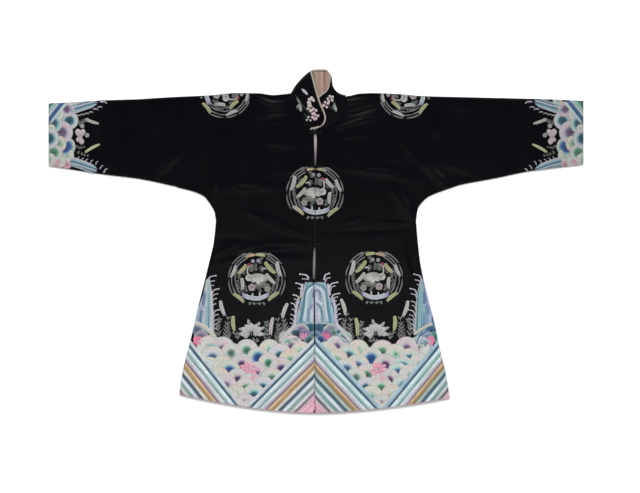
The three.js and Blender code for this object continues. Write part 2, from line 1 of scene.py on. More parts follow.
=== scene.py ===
# %% [markdown]
# # A black satin jacket, laid flat
#
# A short silk satin jacket of the traditional Chinese cut lies front up on a table. Front and back
# are one cloth folded over the shoulder, the sleeves are lengthened at the upper arm, and a stand
# collar and knotted buttons close it. Everything in colour is silk floss, stitched by hand.
# This file puts the real cloth, cord and stitching round the jacket's solid model. Lengths are in
# millimetres until a mesh is made. Left and right are the viewer's, so left is -X.

# %% The solid model
import math

import bpy
import numpy as np
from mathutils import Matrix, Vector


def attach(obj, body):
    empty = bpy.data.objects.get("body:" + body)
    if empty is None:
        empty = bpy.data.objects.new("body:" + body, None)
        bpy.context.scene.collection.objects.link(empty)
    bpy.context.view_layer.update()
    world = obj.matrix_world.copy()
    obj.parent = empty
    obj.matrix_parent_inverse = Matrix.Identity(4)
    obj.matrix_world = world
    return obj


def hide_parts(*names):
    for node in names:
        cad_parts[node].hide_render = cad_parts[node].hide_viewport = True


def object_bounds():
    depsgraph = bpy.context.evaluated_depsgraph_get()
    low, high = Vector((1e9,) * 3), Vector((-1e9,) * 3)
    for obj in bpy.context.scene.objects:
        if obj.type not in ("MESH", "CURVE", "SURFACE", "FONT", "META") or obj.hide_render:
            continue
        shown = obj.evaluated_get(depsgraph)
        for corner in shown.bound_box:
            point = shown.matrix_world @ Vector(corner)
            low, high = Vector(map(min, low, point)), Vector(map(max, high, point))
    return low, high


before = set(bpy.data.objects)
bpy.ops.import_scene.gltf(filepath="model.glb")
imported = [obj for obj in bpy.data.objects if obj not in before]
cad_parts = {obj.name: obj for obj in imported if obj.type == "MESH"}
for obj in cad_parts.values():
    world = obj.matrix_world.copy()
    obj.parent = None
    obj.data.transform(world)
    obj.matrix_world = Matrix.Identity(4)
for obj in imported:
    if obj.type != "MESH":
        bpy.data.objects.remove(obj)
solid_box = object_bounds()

MM = 0.001
scene = bpy.context.scene
print("solid model:", [round(1000 * side) for side in solid_box[1] - solid_box[0]], "mm")

# %% [markdown]
# ## Camera
#
# A garment that lies flat is looked at from straight above. A long lens keeps the picture close to
# a plan view, so that the raised collar and knots don't lean outwards.

# %% The camera
LENS = 85.0             # mm
SENSOR = 36.0           # mm
FILLED = 0.8344         # share of the picture's width that the jacket takes
AIM = (11.2, -14.0)     # the point under the middle of the picture

camera_data = bpy.data.cameras.new("overhead")
camera_data.lens = LENS
camera_data.sensor_width = SENSOR
camera = bpy.data.objects.new("overhead", camera_data)
scene.collection.objects.link(camera)
scene.camera = camera
jacket_width = solid_box[1].x - solid_box[0].x
camera_height = jacket_width / FILLED * LENS / SENSOR
camera.location = (AIM[0] * MM, AIM[1] * MM, camera_height)
print(f"camera {camera_height:.2f} m above the table")

# %% [markdown]
# ## Light and table
#
# A very broad lamp beyond the collar throws the short, soft shadow that lies below the sleeves and
# the hem. It is wide because satin mirrors it toward a low eye at the hem, and a small bright lamp
# would turn the black cloth white there. Black satin mirrors whatever stands above it, so nothing
# bright hangs overhead: wide, weaker lamps at the sides fill the shadow instead. One very faint
# lamp beside the camera is mirrored by the flat cloth: it leaves a soft gloss on the lower body and
# none on the sleeves.

# %% Lamps, sky and table
LAMPS = {
    #                place, m            size, m     watts
    "key": ((0.2, 3.9, 2.9), (7.5, 3.6), 235),
    "sheen": ((0.1, 3.3, 3.9), (1.6, 0.6), 95),
    "left_side": ((-3.4, 1.5, 3.2), (2.4, 1.2), 52),
    "right_side": ((3.4, 1.5, 3.2), (2.4, 1.2), 52),
    "below_hem": ((-0.1, -2.9, 2.6), (3.4, 1.6), 60),
    "gloss": ((0.0, -0.46, 4.2), (1.3, 0.8), 12.5),
}
SKY = (0.95, 0.96, 1.0)
SKY_STRENGTH = 0.14
SKY_SEEN = 0.85         # what the camera sees above the table's far edge
TABLE_SIZE = 40.0       # m


def srgb(red, green, blue):
    """Linear light of a colour given in 8-bit steps: (v / 255 + 0.055) / 1.055 to the power 2.4,
    with a straight foot below 0.04."""
    value = np.array([red, green, blue], float) / 255
    return np.where(value <= 0.04045, value / 12.92, ((value + 0.055) / 1.055) ** 2.4)


def principled(name, **values):
    """A material with one Principled BSDF, its plain sockets set by name."""
    material = bpy.data.materials.new(name)
    material.use_nodes = True
    shader = material.node_tree.nodes["Principled BSDF"]
    for socket, value in values.items():
        shader.inputs[socket.replace("_", " ")].default_value = value
    return material, material.node_tree, shader


for name, (place, size, watts) in LAMPS.items():
    lamp = bpy.data.lights.new(name, "AREA")
    lamp.shape = "RECTANGLE"
    lamp.size, lamp.size_y = size
    lamp.energy = watts
    lamp_object = bpy.data.objects.new(name, lamp)
    lamp_object.location = place
    lamp_object.rotation_euler = (-lamp_object.location).to_track_quat("-Z", "Y").to_euler()
    scene.collection.objects.link(lamp_object)

world = bpy.data.worlds.new("studio")
world.use_nodes = True
background = world.node_tree.nodes["Background"]
background.inputs["Color"].default_value = (*SKY, 1)
seen = world.node_tree.nodes.new("ShaderNodeLightPath")
strength = world.node_tree.nodes.new("ShaderNodeMapRange")
strength.inputs["To Min"].default_value = SKY_STRENGTH
strength.inputs["To Max"].default_value = SKY_SEEN
world.node_tree.links.new(seen.outputs["Is Camera Ray"], strength.inputs["Value"])
world.node_tree.links.new(strength.outputs["Result"], background.inputs["Strength"])
scene.world = world
scene.view_settings.view_transform = "Standard"

half = TABLE_SIZE / 2
table_mesh = bpy.data.meshes.new("table")
corners = [(-half, -half, 0), (half, -half, 0), (half, half, 0), (-half, half, 0)]
table_mesh.from_pydata(corners, [], [(0, 1, 2, 3)])
table = bpy.data.objects.new("table", table_mesh)
scene.collection.objects.link(table)
paper, _, _ = principled(
    "white_paper", Base_Color=(0.96, 0.96, 0.96, 1), Roughness=0.9, Specular_IOR_Level=0.1)
table_mesh.materials.append(paper)
print(len(LAMPS), "lamps over a", TABLE_SIZE, "m table")

# %% [markdown]
# ## The cut
#
# A tailor would draw this jacket as a few edge curves: the side seam, the underside and top of the
# sleeve, the opening and the hem. Each is a short table that a smooth curve runs through. The same
# numbers shape the solid model, so the cloth lies where the solids are.

# %% Edge tables
HALF_SPAN = 1000 * solid_box[1].x
HEM_Y = 1000 * solid_box[0].y
HEM_RISE = {-1: 52, 1: 42}      # how much higher the hem is at the side seams
HEM_BOW = 1.7                   # power of the curve in which the hem rises
UNDERARM_Y = 58
SLEEVE_SEAM_X = 400
NECK = (-4, 314)                # front neck point
NECK_SIDE_X = {-1: -70, 1: 87}
BACK_NECK_Y = 400
TURN = 2.5                      # room that the cloth needs to turn at an edge
TOP_ROW = 417                   # the shoulder's height on a straight jacket
SLOPE_FROM_ROW = 320            # from here up the rows follow the shoulder's slope
SLEEVE_FOOT_ROW = 155.5
NECK_ROUNDS = 12                # rounds in which slope and neckline settle to each other

# height: distance of the side seam on the left and on the right
SIDE_SEAM = np.array([
    (-440, 386, 376), (-360, 373, 362), (-300, 358.5, 347), (-240, 343.5, 335), (-180, 330, 320),
    (-120, 315, 305), (-60, 300.5, 293), (0, 287, 286), (UNDERARM_Y, 281, 281),
])
# reach: height of the sleeve's underside on the left and on the right
UNDERSIDE = np.array([
    (281, 58, 58), (285, 83, 88), (292, 97, 103), (303, 114, 116), (318, 130, 128),
    (350, 143.5, 141.5), (400, 155.5, 157.5), (500, 176, 176.5), (600, 188.5, 197),
    (700, 204, 210), (750, 212, 216),
])
# reach: height of the shoulder line on the left and on the right
SHOULDER = np.array([
    (60, 418, 412), (90, 414, 409), (122, 411.5, 415.5), (160, 416.5, 417), (225, 417, 414.5),
    (300, 410.5, 408.5), (400, 406, 406), (500, 400, 403.5), (600, 396.5, 401),
    (700, 390, 397.5), (750, 388, 394.7),
])
# height: middle and width of the opening
OPENING = np.array([
    (-482, -3, 0.6), (-300, -3, 0.6), (-276, -3.5, 3), (-150, -5, 3), (-114, -6.5, 1),
    (-104, -6, 5.5), (-60, -5, 7), (-20, -4, 5), (-8, -3, 0.6), (204, -2.5, 0.6),
    (216, -2, 4.5), (260, -1.5, 7), (300, -2, 8), (314, -4, 4),
])


# %% Smooth curves through the tables
def smooth_curve(at, value):
    """A curve through points: cubic pieces whose slope at a point is the harmonic mean of the
    slopes on its two sides, or level where those differ in sign, so it never overshoots."""
    step = np.diff(at)
    secant = np.diff(value) / step
    before, after = secant[:-1], secant[1:]
    same = before * after > 0
    total = np.where(same, before + after, 1.0)
    inner = np.where(same, 2 * before * after / total, 0.0)
    slope = np.concatenate([secant[:1], inner, secant[-1:]])

    def curve(x):
        inside = np.clip(x, at[0], at[-1])
        i = np.clip(np.searchsorted(at, inside) - 1, 0, len(step) - 1)
        t = (inside - at[i]) / step[i]
        rise = (3 - 2 * t) * t * t
        return (
            value[i] + (value[i + 1] - value[i]) * rise
            + step[i] * t * (1 - t) * (slope[i] * (1 - t) - slope[i + 1] * t)
        )

    return curve


def smoothstep(low, high, value):
    """0 below low, 1 above high, and 3t^2 - 2t^3 between them."""
    t = np.clip((value - low) / (high - low), 0, 1)
    return t * t * (3 - 2 * t)


def both_sides(table):
    """The curves of the left (-1) and the right (1) half."""
    return {side: smooth_curve(table[:, 0], table[:, k]) for side, k in ((-1, 1), (1, 2))}


seam, under, shoulder = both_sides(SIDE_SEAM), both_sides(UNDERSIDE), both_sides(SHOULDER)
opening_middle = smooth_curve(OPENING[:, 0], OPENING[:, 1])
opening_width = smooth_curve(OPENING[:, 0], OPENING[:, 2])
print("hem", HEM_Y, "to shoulder", float(shoulder[-1](160.0)))


# %% Places on a body panel
def outer_reach(side, y):
    """Distance of a panel's outer edge: the side seam, then the underarm curve read backwards."""
    reach = np.linspace(UNDERSIDE[0, 0], HALF_SPAN, 1500)
    on_curve = np.interp(y, under[side](reach), reach)
    return np.where(y <= UNDERARM_Y, seam[side](y), np.minimum(SLEEVE_SEAM_X, on_curve))


def inner_edge(side, layer, y):
    """X of a panel's inner edge: the opening or the centre back, then a quarter ellipse round
    the neck, where x = start + (side - start) * root(1 - climb^2)."""
    side_x = NECK_SIDE_X[side]
    side_y = shoulder[side](abs(side_x)) - TURN
    lowest, start = (NECK[1], NECK[0]) if layer == "front" else (BACK_NECK_Y, 0)
    climb = np.clip((side_y - y) / (side_y - lowest), 0, 1)
    neck = start + (side_x - start) * np.sqrt(1 - climb**2)
    straight = 0 * y
    if layer == "front":
        straight = opening_middle(y) + side * opening_width(y) / 2
    return np.where(y > lowest, neck, straight)


def body_places(side, layer, rows, across):
    """X and Y of a panel's grid. A row is the height it would have on a straight jacket: the
    hem's bow lifts it by rise * across^1.7, and near the top it follows the shoulder's slope."""
    row = rows[:, None]
    share = across[None, :]
    rise = HEM_RISE[side] * np.clip((UNDERARM_Y - row) / (UNDERARM_Y - HEM_Y), 0, 1)
    slope = smoothstep(SLOPE_FROM_ROW, TOP_ROW, row)
    on_sleeve = row >= SLEEVE_FOOT_ROW

    def fall(x):
        return (shoulder[side](np.abs(x)) - TURN - TOP_ROW) * slope

    inner = NECK_SIDE_X[side] + 0 * row
    for _ in range(NECK_ROUNDS):
        inner = inner_edge(side, layer, row + fall(inner))
    outer = np.where(on_sleeve, SLEEVE_SEAM_X, outer_reach(side, row + rise) - TURN)
    x = inner + (side * outer - inner) * share
    foot = under[side](SLEEVE_SEAM_X) + TURN - SLEEVE_FOOT_ROW
    lift = np.where(on_sleeve, foot * (1 - slope) * share, 0)
    return x, row + rise * share**HEM_BOW + fall(x) + lift


print("side seams", [round(float(outer_reach(side, 0.0))) for side in (-1, 1)], "mm out")


# %% [markdown]
# ## How the layers lie
#
# The back lies on the table and the front on the back, a little fuller in the middle than at the
# edges. Satin keeps the creases of its last folding: long, shallow ridges, most of them level,
# some fanning out from the underarm. They are too few and too uneven for a noise pattern, so each
# is a soft ridge put where it belongs.

# %% Levels and creases
WALL = 1.2              # satin and lining as they show
BACK_MIDDLE = 1.0
FRONT_MIDDLE = 4.4
PUFF = 1.2              # how much fuller the front is in the middle
PUFF_REACH = 110        # distance from the edge at which it is full
SHARPER = 2.4           # how far real creases stand above the solids' soft folds
FRONT_FADE = (0, 14)    # between these distances from an edge the creases come in
BACK_FADE = (2, 20)
EDGE_MIDDLE = (FRONT_MIDDLE + BACK_MIDDLE) / 2

LARGE_FOLDS = 6         # the first rows of the front's creases
FRONT_CREASES = np.array([
    # x, y, turn, length, width, height, bend: large folds first, the same as the solids'
    (-188, 150, 0, 150, 26, 1.1, 0), (-110, 50, -23, 130, 24, 1.2, 0),
    (178, 192, -9, 230, 26, 1.2, 0), (336, 190, -36, 130, 24, 1.2, 0),
    (-420, 222, 47, 110, 24, 1.1, 0), (-190, -60, 0, 190, 26, 0.9, 0),
    # sharp backs of those folds
    (-192, 150, -2, 100, 10, 0.6, 8), (-110, 48, -22, 120, 11, 0.6, 0),
    (172, 196, -4, 160, 9, 0.5, 5), (340, 184, -50, 80, 18, 1.3, 0),
    (-424, 209, 42, 90, 13, 1.1, 0), (246, 108, -58, 92, 24, 1.5, -5),
    # small ones
    (-524, 332, -4, 60, 10, 0.5, 4), (-438, 313, 17, 62, 11, 0.4, 0),
    (-574, 216, -31, 60, 13, 0.8, -8), (-128, 388, -12, 84, 12, 0.9, 12),
    (-112, 362, 4, 70, 13, -0.8, 0), (-140, 336, 3, 170, 16, 0.45, 0),
    (-104, 258, -9, 90, 10, -0.7, 3), (-212, 232, 84, 110, 18, 0.35, 0),
    (-128, -8, 5, 160, 16, 0.8, -6), (-130, -30, 4, 190, 10, -0.5, -4),
    (-236, 8, 0, 84, 12, -0.5, 0), (-70, -51, -5, 100, 11, 0.5, 0),
    (-252, -22, 24, 62, 9, 0.6, 0), (-248, -54, 17, 46, 8, 0.5, 0),
    (-288, 152, 86, 56, 16, 0.6, 0), (-92, 196, 2, 44, 9, 0.4, 0),
    (112, 334, 15, 130, 11, 0.9, -4), (130, 366, 16, 110, 14, -1.0, 5),
    (112, 296, 3, 90, 9, 0.45, 0), (262, 236, -56, 70, 12, -0.8, -6),
    (300, 238, -78, 60, 12, 0.6, 0), (386, 190, -16, 90, 18, -0.9, 0),
    (224, 229, 0, 36, 8, 0.5, 0), (104, 60, 14, 42, 8, 0.5, 0),
    (216, 51, -3, 74, 11, 0.5, 0), (158, 30, 3, 190, 12, -0.5, 4),
    (254, -62, -74, 96, 14, 0.8, 6), (404, 362, -9, 60, 10, 0.5, 4),
    (336, 306, -24, 60, 18, 0.4, 0), (106, 393, 7, 70, 16, 0.8, 0),
    (510, 250, 62, 90, 20, 0.4, 0), (560, 330, 8, 120, 18, 0.35, 0),
    (-610, 300, 72, 90, 18, 0.35, 0), (640, 380, -4, 70, 12, 0.35, 0),
])
BACK_CREASES = np.array([
    (-150, 210, 6, 200, 20, 0.7, 4), (140, 160, -8, 180, 18, 0.7, 0),
    (0, 40, 2, 260, 22, 0.6, 6), (-240, 90, 52, 120, 16, 0.8, 0), (236, 96, -50, 130, 16, 0.8, 0),
    (-120, -20, -6, 160, 16, 0.5, 0), (180, -30, 5, 150, 16, 0.5, 0),
    (-460, 280, 30, 130, 16, 0.6, 0), (480, 270, -24, 140, 16, 0.6, 0),
    (-560, 300, -66, 90, 14, 0.5, 0), (590, 320, 70, 80, 14, 0.5, 0), (20, 330, 0, 170, 18, 0.6, 5),
])


# %% Heights of the two layers
def cos_sin(degrees):
    """Cosine and sine of an angle in degrees."""
    return math.cos(math.radians(degrees)), math.sin(math.radians(degrees))


def crease_height(table, x, y):
    """Sum of soft ridges: high * exp(-along^2 - across^2), with along and across in half lengths
    and half widths, and across bent by a share of along squared."""
    height = np.zeros(np.shape(x))
    for cx, cy, turn, long, wide, high, bend in table:
        c, s = cos_sin(turn)
        along = ((x - cx) * c + (y - cy) * s) / (long / 2)
        across = ((y - cy) * c - (x - cx) * s - bend * along**2) / (wide / 2)
        height += high * np.exp(-np.minimum(along**2 + across**2, 40))
    return height


def inwardness(x, y):
    """Distance from the folded edges: shoulder line above, underarm and side seam below."""
    reach = np.abs(x)
    left = x < 0
    top = np.where(left, shoulder[-1](reach), shoulder[1](reach)) - y
    low = y - np.where(left, under[-1](reach), under[1](reach))
    down = np.minimum(y, UNDERARM_Y)
    side = np.where(left, seam[-1](down), seam[1](down)) - reach + np.maximum(0, y - UNDERARM_Y)
    on_sleeve = (reach > UNDERSIDE[0, 0]) & (y > UNDERARM_Y)
    return np.maximum(0, np.minimum(top, np.where(on_sleeve, low, side)))


def front_middle(x, y):
    """Height of the front layer's middle: its edge level, plus the puff and the creases."""
    inward = inwardness(x, y)
    away, soft = smoothstep(0, PUFF_REACH, inward), smoothstep(*FRONT_FADE, inward)
    large = crease_height(FRONT_CREASES[:LARGE_FOLDS], x, y) * away
    sharp = SHARPER * crease_height(FRONT_CREASES[LARGE_FOLDS:], x, y) * soft
    return FRONT_MIDDLE + PUFF * away + large + sharp


def back_middle(x, y):
    """Height of the back layer's middle: flat on the table, lifted here and there by a crease."""
    soft = smoothstep(*BACK_FADE, inwardness(x, y))
    return BACK_MIDDLE + crease_height(BACK_CREASES, x, y) * soft


print(len(FRONT_CREASES), "creases on the front,", len(BACK_CREASES), "on the back")

# %% [markdown]
# ## Meshes from arrays
#
# Every piece is a set of grids: rows and columns of points worked out as whole arrays. One helper
# turns grids into a mesh. Where two grids share an edge, their points fall together and are made
# one, so a front, a back and the turns between them become one cloth.

# %% From grids to a mesh
def grid_faces(rows, columns):
    """Corner numbers of the quads of a grid whose points are numbered row by row."""
    first = (np.arange(rows - 1)[:, None] * columns + np.arange(columns - 1)).ravel()
    return np.stack([first, first + 1, first + columns + 1, first + columns], axis=1)


def colour_points(mesh, colour):
    """A colour attribute from one linear colour (n, 3) for each point."""
    layer = mesh.color_attributes.new("floss", "FLOAT_COLOR", "POINT")
    rgba = np.concatenate([colour, np.ones((len(colour), 1))], axis=1)
    layer.data.foreach_set("color", rgba.astype(np.float32).ravel())


def build_mesh(name, points, faces, uv):
    """A smooth mesh object from points in mm (n, 3), quads (m, 4) and each point's place on the
    cloth (n, 2). A quad with two corners at one point becomes a triangle."""
    same = faces == np.roll(faces, -1, axis=1)
    faces = faces[same.sum(axis=1) < 2]
    keep = ~(faces == np.roll(faces, -1, axis=1))
    corners = faces[keep]
    sizes = keep.sum(axis=1)
    starts = np.concatenate([[0], np.cumsum(sizes)[:-1]])
    mesh = bpy.data.meshes.new(name)
    mesh.vertices.add(len(points))
    mesh.vertices.foreach_set("co", (points * MM).astype(np.float32).ravel())
    mesh.loops.add(len(corners))
    mesh.loops.foreach_set("vertex_index", corners.astype(np.int32))
    mesh.polygons.add(len(faces))
    mesh.polygons.foreach_set("loop_start", starts.astype(np.int32))
    mesh.polygons.foreach_set("use_smooth", np.ones(len(faces), bool))
    mesh.update(calc_edges=True)
    layer = mesh.uv_layers.new(name="cloth")
    layer.data.foreach_set("uv", (uv[corners] * MM).astype(np.float32).ravel())
    piece = bpy.data.objects.new(name, mesh)
    scene.collection.objects.link(piece)
    return piece


def sew(name, grids):
    """One cloth from grids of (rows, columns, 5): x, y, z and the place on the cloth, u and v.
    Points that fall within a thousandth of a millimetre become one."""
    points = np.concatenate([grid[..., :3].reshape(-1, 3) for grid in grids])
    places = np.concatenate([grid[..., 3:5].reshape(-1, 2) for grid in grids])
    starts = np.cumsum([0] + [grid.shape[0] * grid.shape[1] for grid in grids])
    faces = np.concatenate([
        grid_faces(*grid.shape[:2]) + start for grid, start in zip(grids, starts)
    ])
    _, first, merged = np.unique(
        np.round(points, 3), axis=0, return_index=True, return_inverse=True
    )
    merged = merged.reshape(-1)
    return build_mesh(name, points[first], merged[faces], places[first])


SHARP_EDGE = math.radians(50)


def give_wall(piece, thickness):
    """Thickness for a sheet, half to each side, with a crisp cut edge."""
    wall = piece.modifiers.new("wall", "SOLIDIFY")
    wall.thickness = thickness * MM
    wall.offset = 0
    wall.use_even_offset = False
    with bpy.context.temp_override(object=piece):
        bpy.ops.object.modifier_apply(modifier=wall.name)
    piece.data.set_sharp_from_angle(angle=SHARP_EDGE)


# %% [markdown]
# ## Satin
#
# Front and back of each half are one width of satin, folded over the shoulder and sewn at the side.
# The grid's rows run from hem to shoulder. At the side seam and over the shoulder a half circle of
# rows carries the cloth from front to back, so the edge is round, as a pressed but unironed fold is.

# %% Body panels
COLUMNS = 62            # quads across a panel
TURN_ROWS = 6           # quads round a turned edge
# height where the neckline starts, step of the rows below it, number of rows above it
FRONT_NECK_ROWS = (NECK[1], 5.5, 22)
BACK_NECK_ROWS = (BACK_NECK_Y, 7, 9)
LOW_ROWS = np.concatenate([
    np.linspace(HEM_Y, UNDERARM_Y, 88)[:-1], np.linspace(UNDERARM_Y, SLEEVE_FOOT_ROW, 31),
])


def high_rows(curve_from, straight_step, curved):
    """Rows from the sleeve's foot to the shoulder: evenly to the neck, then closer and closer, at
    sin(angle) of a quarter circle, because the neckline is steepest where it ends."""
    count = int((curve_from - SLEEVE_FOOT_ROW) / straight_step) + 1
    plain = np.linspace(SLEEVE_FOOT_ROW, curve_from, count)
    angle = np.linspace(0, math.pi / 2, curved + 1)[1:]
    return np.concatenate([plain[1:], curve_from + (TOP_ROW - curve_from) * np.sin(angle)])


def half_turn(front, back, outward, steps):
    """Rows between two edges: middle of the two + radius * (cos up, sin outward), over half a
    turn. front, back: (n, 5) points; outward: (n, 2) unit vectors in the table's plane."""
    angle = np.linspace(0, math.pi, steps + 1)[:, None, None]
    share = (1 - np.cos(angle)) / 2
    radius = (front[:, 2:3] - back[:, 2:3]) / 2
    rows = front[None] * (1 - share) + back[None] * share
    rows[..., :2] += outward[None] * radius[None] * np.sin(angle)
    return rows


def unit(vectors):
    """The same directions at length 1."""
    return vectors / np.linalg.norm(vectors, axis=-1, keepdims=True)


def square_to(edge, sign):
    """Unit vectors square to an edge (n, 2) in the table's plane."""
    along = np.gradient(edge, axis=0)
    return unit(np.stack([along[:, 1], -along[:, 0]], axis=1) * sign)


def layer_grid(x, y, z, v):
    """A grid with its place on the cloth: u is x, v is given."""
    return np.stack([x, y, z, x, v], axis=-1)


def body_cloth(side):
    """The grids of one body panel: front, back, side turn and shoulder fold."""
    across = np.linspace(0, 1, COLUMNS + 1)
    fold = math.pi * (FRONT_MIDDLE - BACK_MIDDLE) / 2
    x, y = body_places(side, "front", np.concatenate([LOW_ROWS, high_rows(*FRONT_NECK_ROWS)]), across)
    front = layer_grid(x, y, front_middle(x, y), y)
    x, y = body_places(side, "back", np.concatenate([LOW_ROWS, high_rows(*BACK_NECK_ROWS)]), across)
    back = layer_grid(x, y, back_middle(x, y), 2 * TOP_ROW + fold - y)
    n = len(LOW_ROWS)
    edge_front, edge_back = front[:n, -1], back[:n, -1]
    outward = square_to(edge_front[:, :2], side)
    outward[-1] = (0, -1)
    side_turn = half_turn(edge_front, edge_back, outward, TURN_ROWS)
    side_turn[..., 4] = side_turn[..., 1]
    up = np.tile([[0.0, 1.0]], (COLUMNS + 1, 1))
    over = half_turn(front[-1], back[-1], up, TURN_ROWS)
    grids = [front, back[::-1], side_turn[::-1], over]
    return grids if side > 0 else [grid[:, ::-1] for grid in grids]


def panel_area(grids):
    """Area of a set of grids in square metres, by cross products of the quads' diagonals."""
    total = 0.0
    for grid in grids:
        p = grid[..., :3] * MM
        one, two = p[1:, 1:] - p[:-1, :-1], p[1:, :-1] - p[:-1, 1:]
        total += np.linalg.norm(np.cross(one, two), axis=-1).sum() / 2
    return total


# %% Sleeve ends
SLEEVE_ROWS = 34
SLEEVE_COLUMNS = 60


def sleeve_cloth(side):
    """The grids of one sleeve: a flattened tube from the seam to the cuff."""
    reach = np.linspace(SLEEVE_SEAM_X, HALF_SPAN, SLEEVE_COLUMNS + 1)
    low, high = under[side](reach) + TURN, shoulder[side](reach) - TURN
    share = np.linspace(0, 1, SLEEVE_ROWS + 1)[:, None]
    y = low + (high - low) * share
    x = np.broadcast_to(side * reach, y.shape)
    front = layer_grid(x, y, front_middle(x, y), y)
    back = layer_grid(x, y, back_middle(x, y), 2 * TOP_ROW - y)
    down = np.tile([[0.0, -1.0]], (len(reach), 1))
    lower = half_turn(front[0], back[0], down, TURN_ROWS)
    upper = half_turn(front[-1], back[-1], -down, TURN_ROWS)
    lower[..., 4] = lower[..., 1]
    grids = [front, back[::-1], lower[::-1], upper]
    return grids if side > 0 else [grid[:, ::-1] for grid in grids]


cloths = {
    "body_left": body_cloth(-1),
    "sleeve_left": sleeve_cloth(-1),
    "body_right": body_cloth(1),
    "sleeve_right": sleeve_cloth(1),
}
satin_pieces = {}
for node, grids in cloths.items():
    piece = sew(f"satin_{node}", grids)
    give_wall(piece, WALL)
    satin_pieces[node] = piece
    print(piece.name, len(piece.data.polygons), "quads,", round(panel_area(grids), 3), "m2")

# %% [markdown]
# ## Black satin
#
# Satin weave lets each warp thread float over several weft threads, so the face is smooth and
# shines along the warp. On black cloth the shine is all that shows. The weave is a fine bump in
# the cloth's own directions, and slow changes of roughness keep the black from looking like paint.

# %% A weave as a node group
def new_group(name, inputs, outputs):
    """A shader node group with named sockets: (name, kind, default) in, (name, kind) out."""
    group = bpy.data.node_groups.new(name, "ShaderNodeTree")
    for label, kind, default in inputs:
        socket = group.interface.new_socket(label, in_out="INPUT", socket_type=kind)
        if default is not None:
            socket.default_value = default
    for label, kind in outputs:
        group.interface.new_socket(label, in_out="OUTPUT", socket_type=kind)
    start = group.nodes.new("NodeGroupInput")
    end = group.nodes.new("NodeGroupOutput")
    return group, start.outputs, end.inputs


def node(tree, kind, links=None, **settings):
    """A node with its attributes set and its inputs linked or filled, by name or number."""
    made = tree.nodes.new(kind)
    for key, value in settings.items():
        setattr(made, key, value)
    for socket, value in (links or {}).items():
        if isinstance(value, bpy.types.NodeSocket):
            tree.links.new(value, made.inputs[socket])
        else:
            made.inputs[socket].default_value = value
    return made


def math_node(tree, operation, one, two=0.0):
    """One sum, product or other step on values."""
    return node(tree, "ShaderNodeMath", {0: one, 1: two}, operation=operation).outputs[0]


def floating_threads():
    """Satin's face: narrow ridges along the warp, each broken where the thread dips under one
    weft. Height = ridge across the warp * dip along it, and a slow mask for handled places."""
    group, given, put = new_group(
        "satin_weave",
        [("Place", "NodeSocketVector", None), ("Thread", "NodeSocketFloat", 0.0005)],
        [("Height", "NodeSocketFloat"), ("Handled", "NodeSocketFloat")],
    )
    parts = node(group, "ShaderNodeSeparateXYZ", {0: given["Place"]})
    u = math_node(group, "DIVIDE", parts.outputs[0], given["Thread"])
    v = math_node(group, "DIVIDE", parts.outputs[1], given["Thread"])
    ridge = math_node(group, "SINE", math_node(group, "MULTIPLY", u, 2 * math.pi))
    column = math_node(group, "MULTIPLY", math_node(group, "FLOOR", u), 0.4)
    shifted = math_node(group, "ADD", column, math_node(group, "MULTIPLY", v, 0.2))
    dip = math_node(group, "ADD", math_node(group, "PINGPONG", shifted, 0.5), 0.4)
    height = math_node(group, "MULTIPLY", math_node(group, "ADD", ridge, 1.2), dip)
    group.links.new(height, put["Height"])
    cloud = node(
        group, "ShaderNodeTexNoise", {"Vector": given["Place"], "Scale": 14.0, "Detail": 3.0})
    group.links.new(cloud.outputs[0], put["Handled"])
    return group


SATIN_WEAVE = floating_threads()
print(SATIN_WEAVE.name, "has", len(SATIN_WEAVE.nodes), "nodes")


def weave_bump(tree, strength, distance, place, thread):
    """The weave group joined to a bump node; returns its normal and the slow mask."""
    weave = node(tree, "ShaderNodeGroup", node_tree=SATIN_WEAVE)
    tree.links.new(place, weave.inputs["Place"])
    weave.inputs["Thread"].default_value = thread
    bump = node(tree, "ShaderNodeBump", {
        "Strength": strength, "Distance": distance, "Height": weave.outputs["Height"]})
    return bump.outputs[0], weave.outputs["Handled"]


# %% Black satin
SATIN_THREAD = 0.00045  # m


def black_satin(name, base, roughness):
    """Near-black silk: dim base, a weak and soft highlight, roughness that drifts."""
    material, tree, shader = principled(
        name, Base_Color=(*srgb(*base), 1), Specular_IOR_Level=0.105)
    place = node(tree, "ShaderNodeUVMap", uv_map="cloth").outputs[0]
    normal, handled = weave_bump(tree, 0.25, 0.00008, place, SATIN_THREAD)
    tree.links.new(normal, shader.inputs["Normal"])
    drift = node(tree, "ShaderNodeMapRange", {
        "Value": handled, 1: 0.35, 2: 0.65, 3: roughness - 0.015, 4: roughness + 0.02})
    tree.links.new(drift.outputs[0], shader.inputs["Roughness"])
    return material


SATIN = black_satin("black_satin", (1.0, 0.8, 4.2), 0.28)
for piece in satin_pieces.values():
    piece.data.materials.append(SATIN)
print("satin thread", 1000 * SATIN_THREAD, "mm")

# %% [markdown]
# ## Stand collar
#
# The collar is one band, sewn to the neckline and lined in silk. Lying down, it folds at both
# sides: the back stands out flat above the shoulders with its lining up, and the two fronts lie
# over it. Each line across the band is given by its foot on the neckline and its free edge.

# %% The collar's lines
COLLAR_SEAM = 1.0       # from the neckline to the foot of the band
COLLAR_RISE_END = 0.35  # share of the band in which it climbs to its level
COLLAR_MIDDLE = (8, 450)
COLLAR_REACH = 90
LINES_PER_STATION = 8
COLLAR_ROWS = 27        # points on a line
SHELL_END = 1.012       # the satin goes just past the free edge, under the piping
LINING_END = 0.985
HALF_NECK = 200         # mm of cloth that a half of the neckline counts for

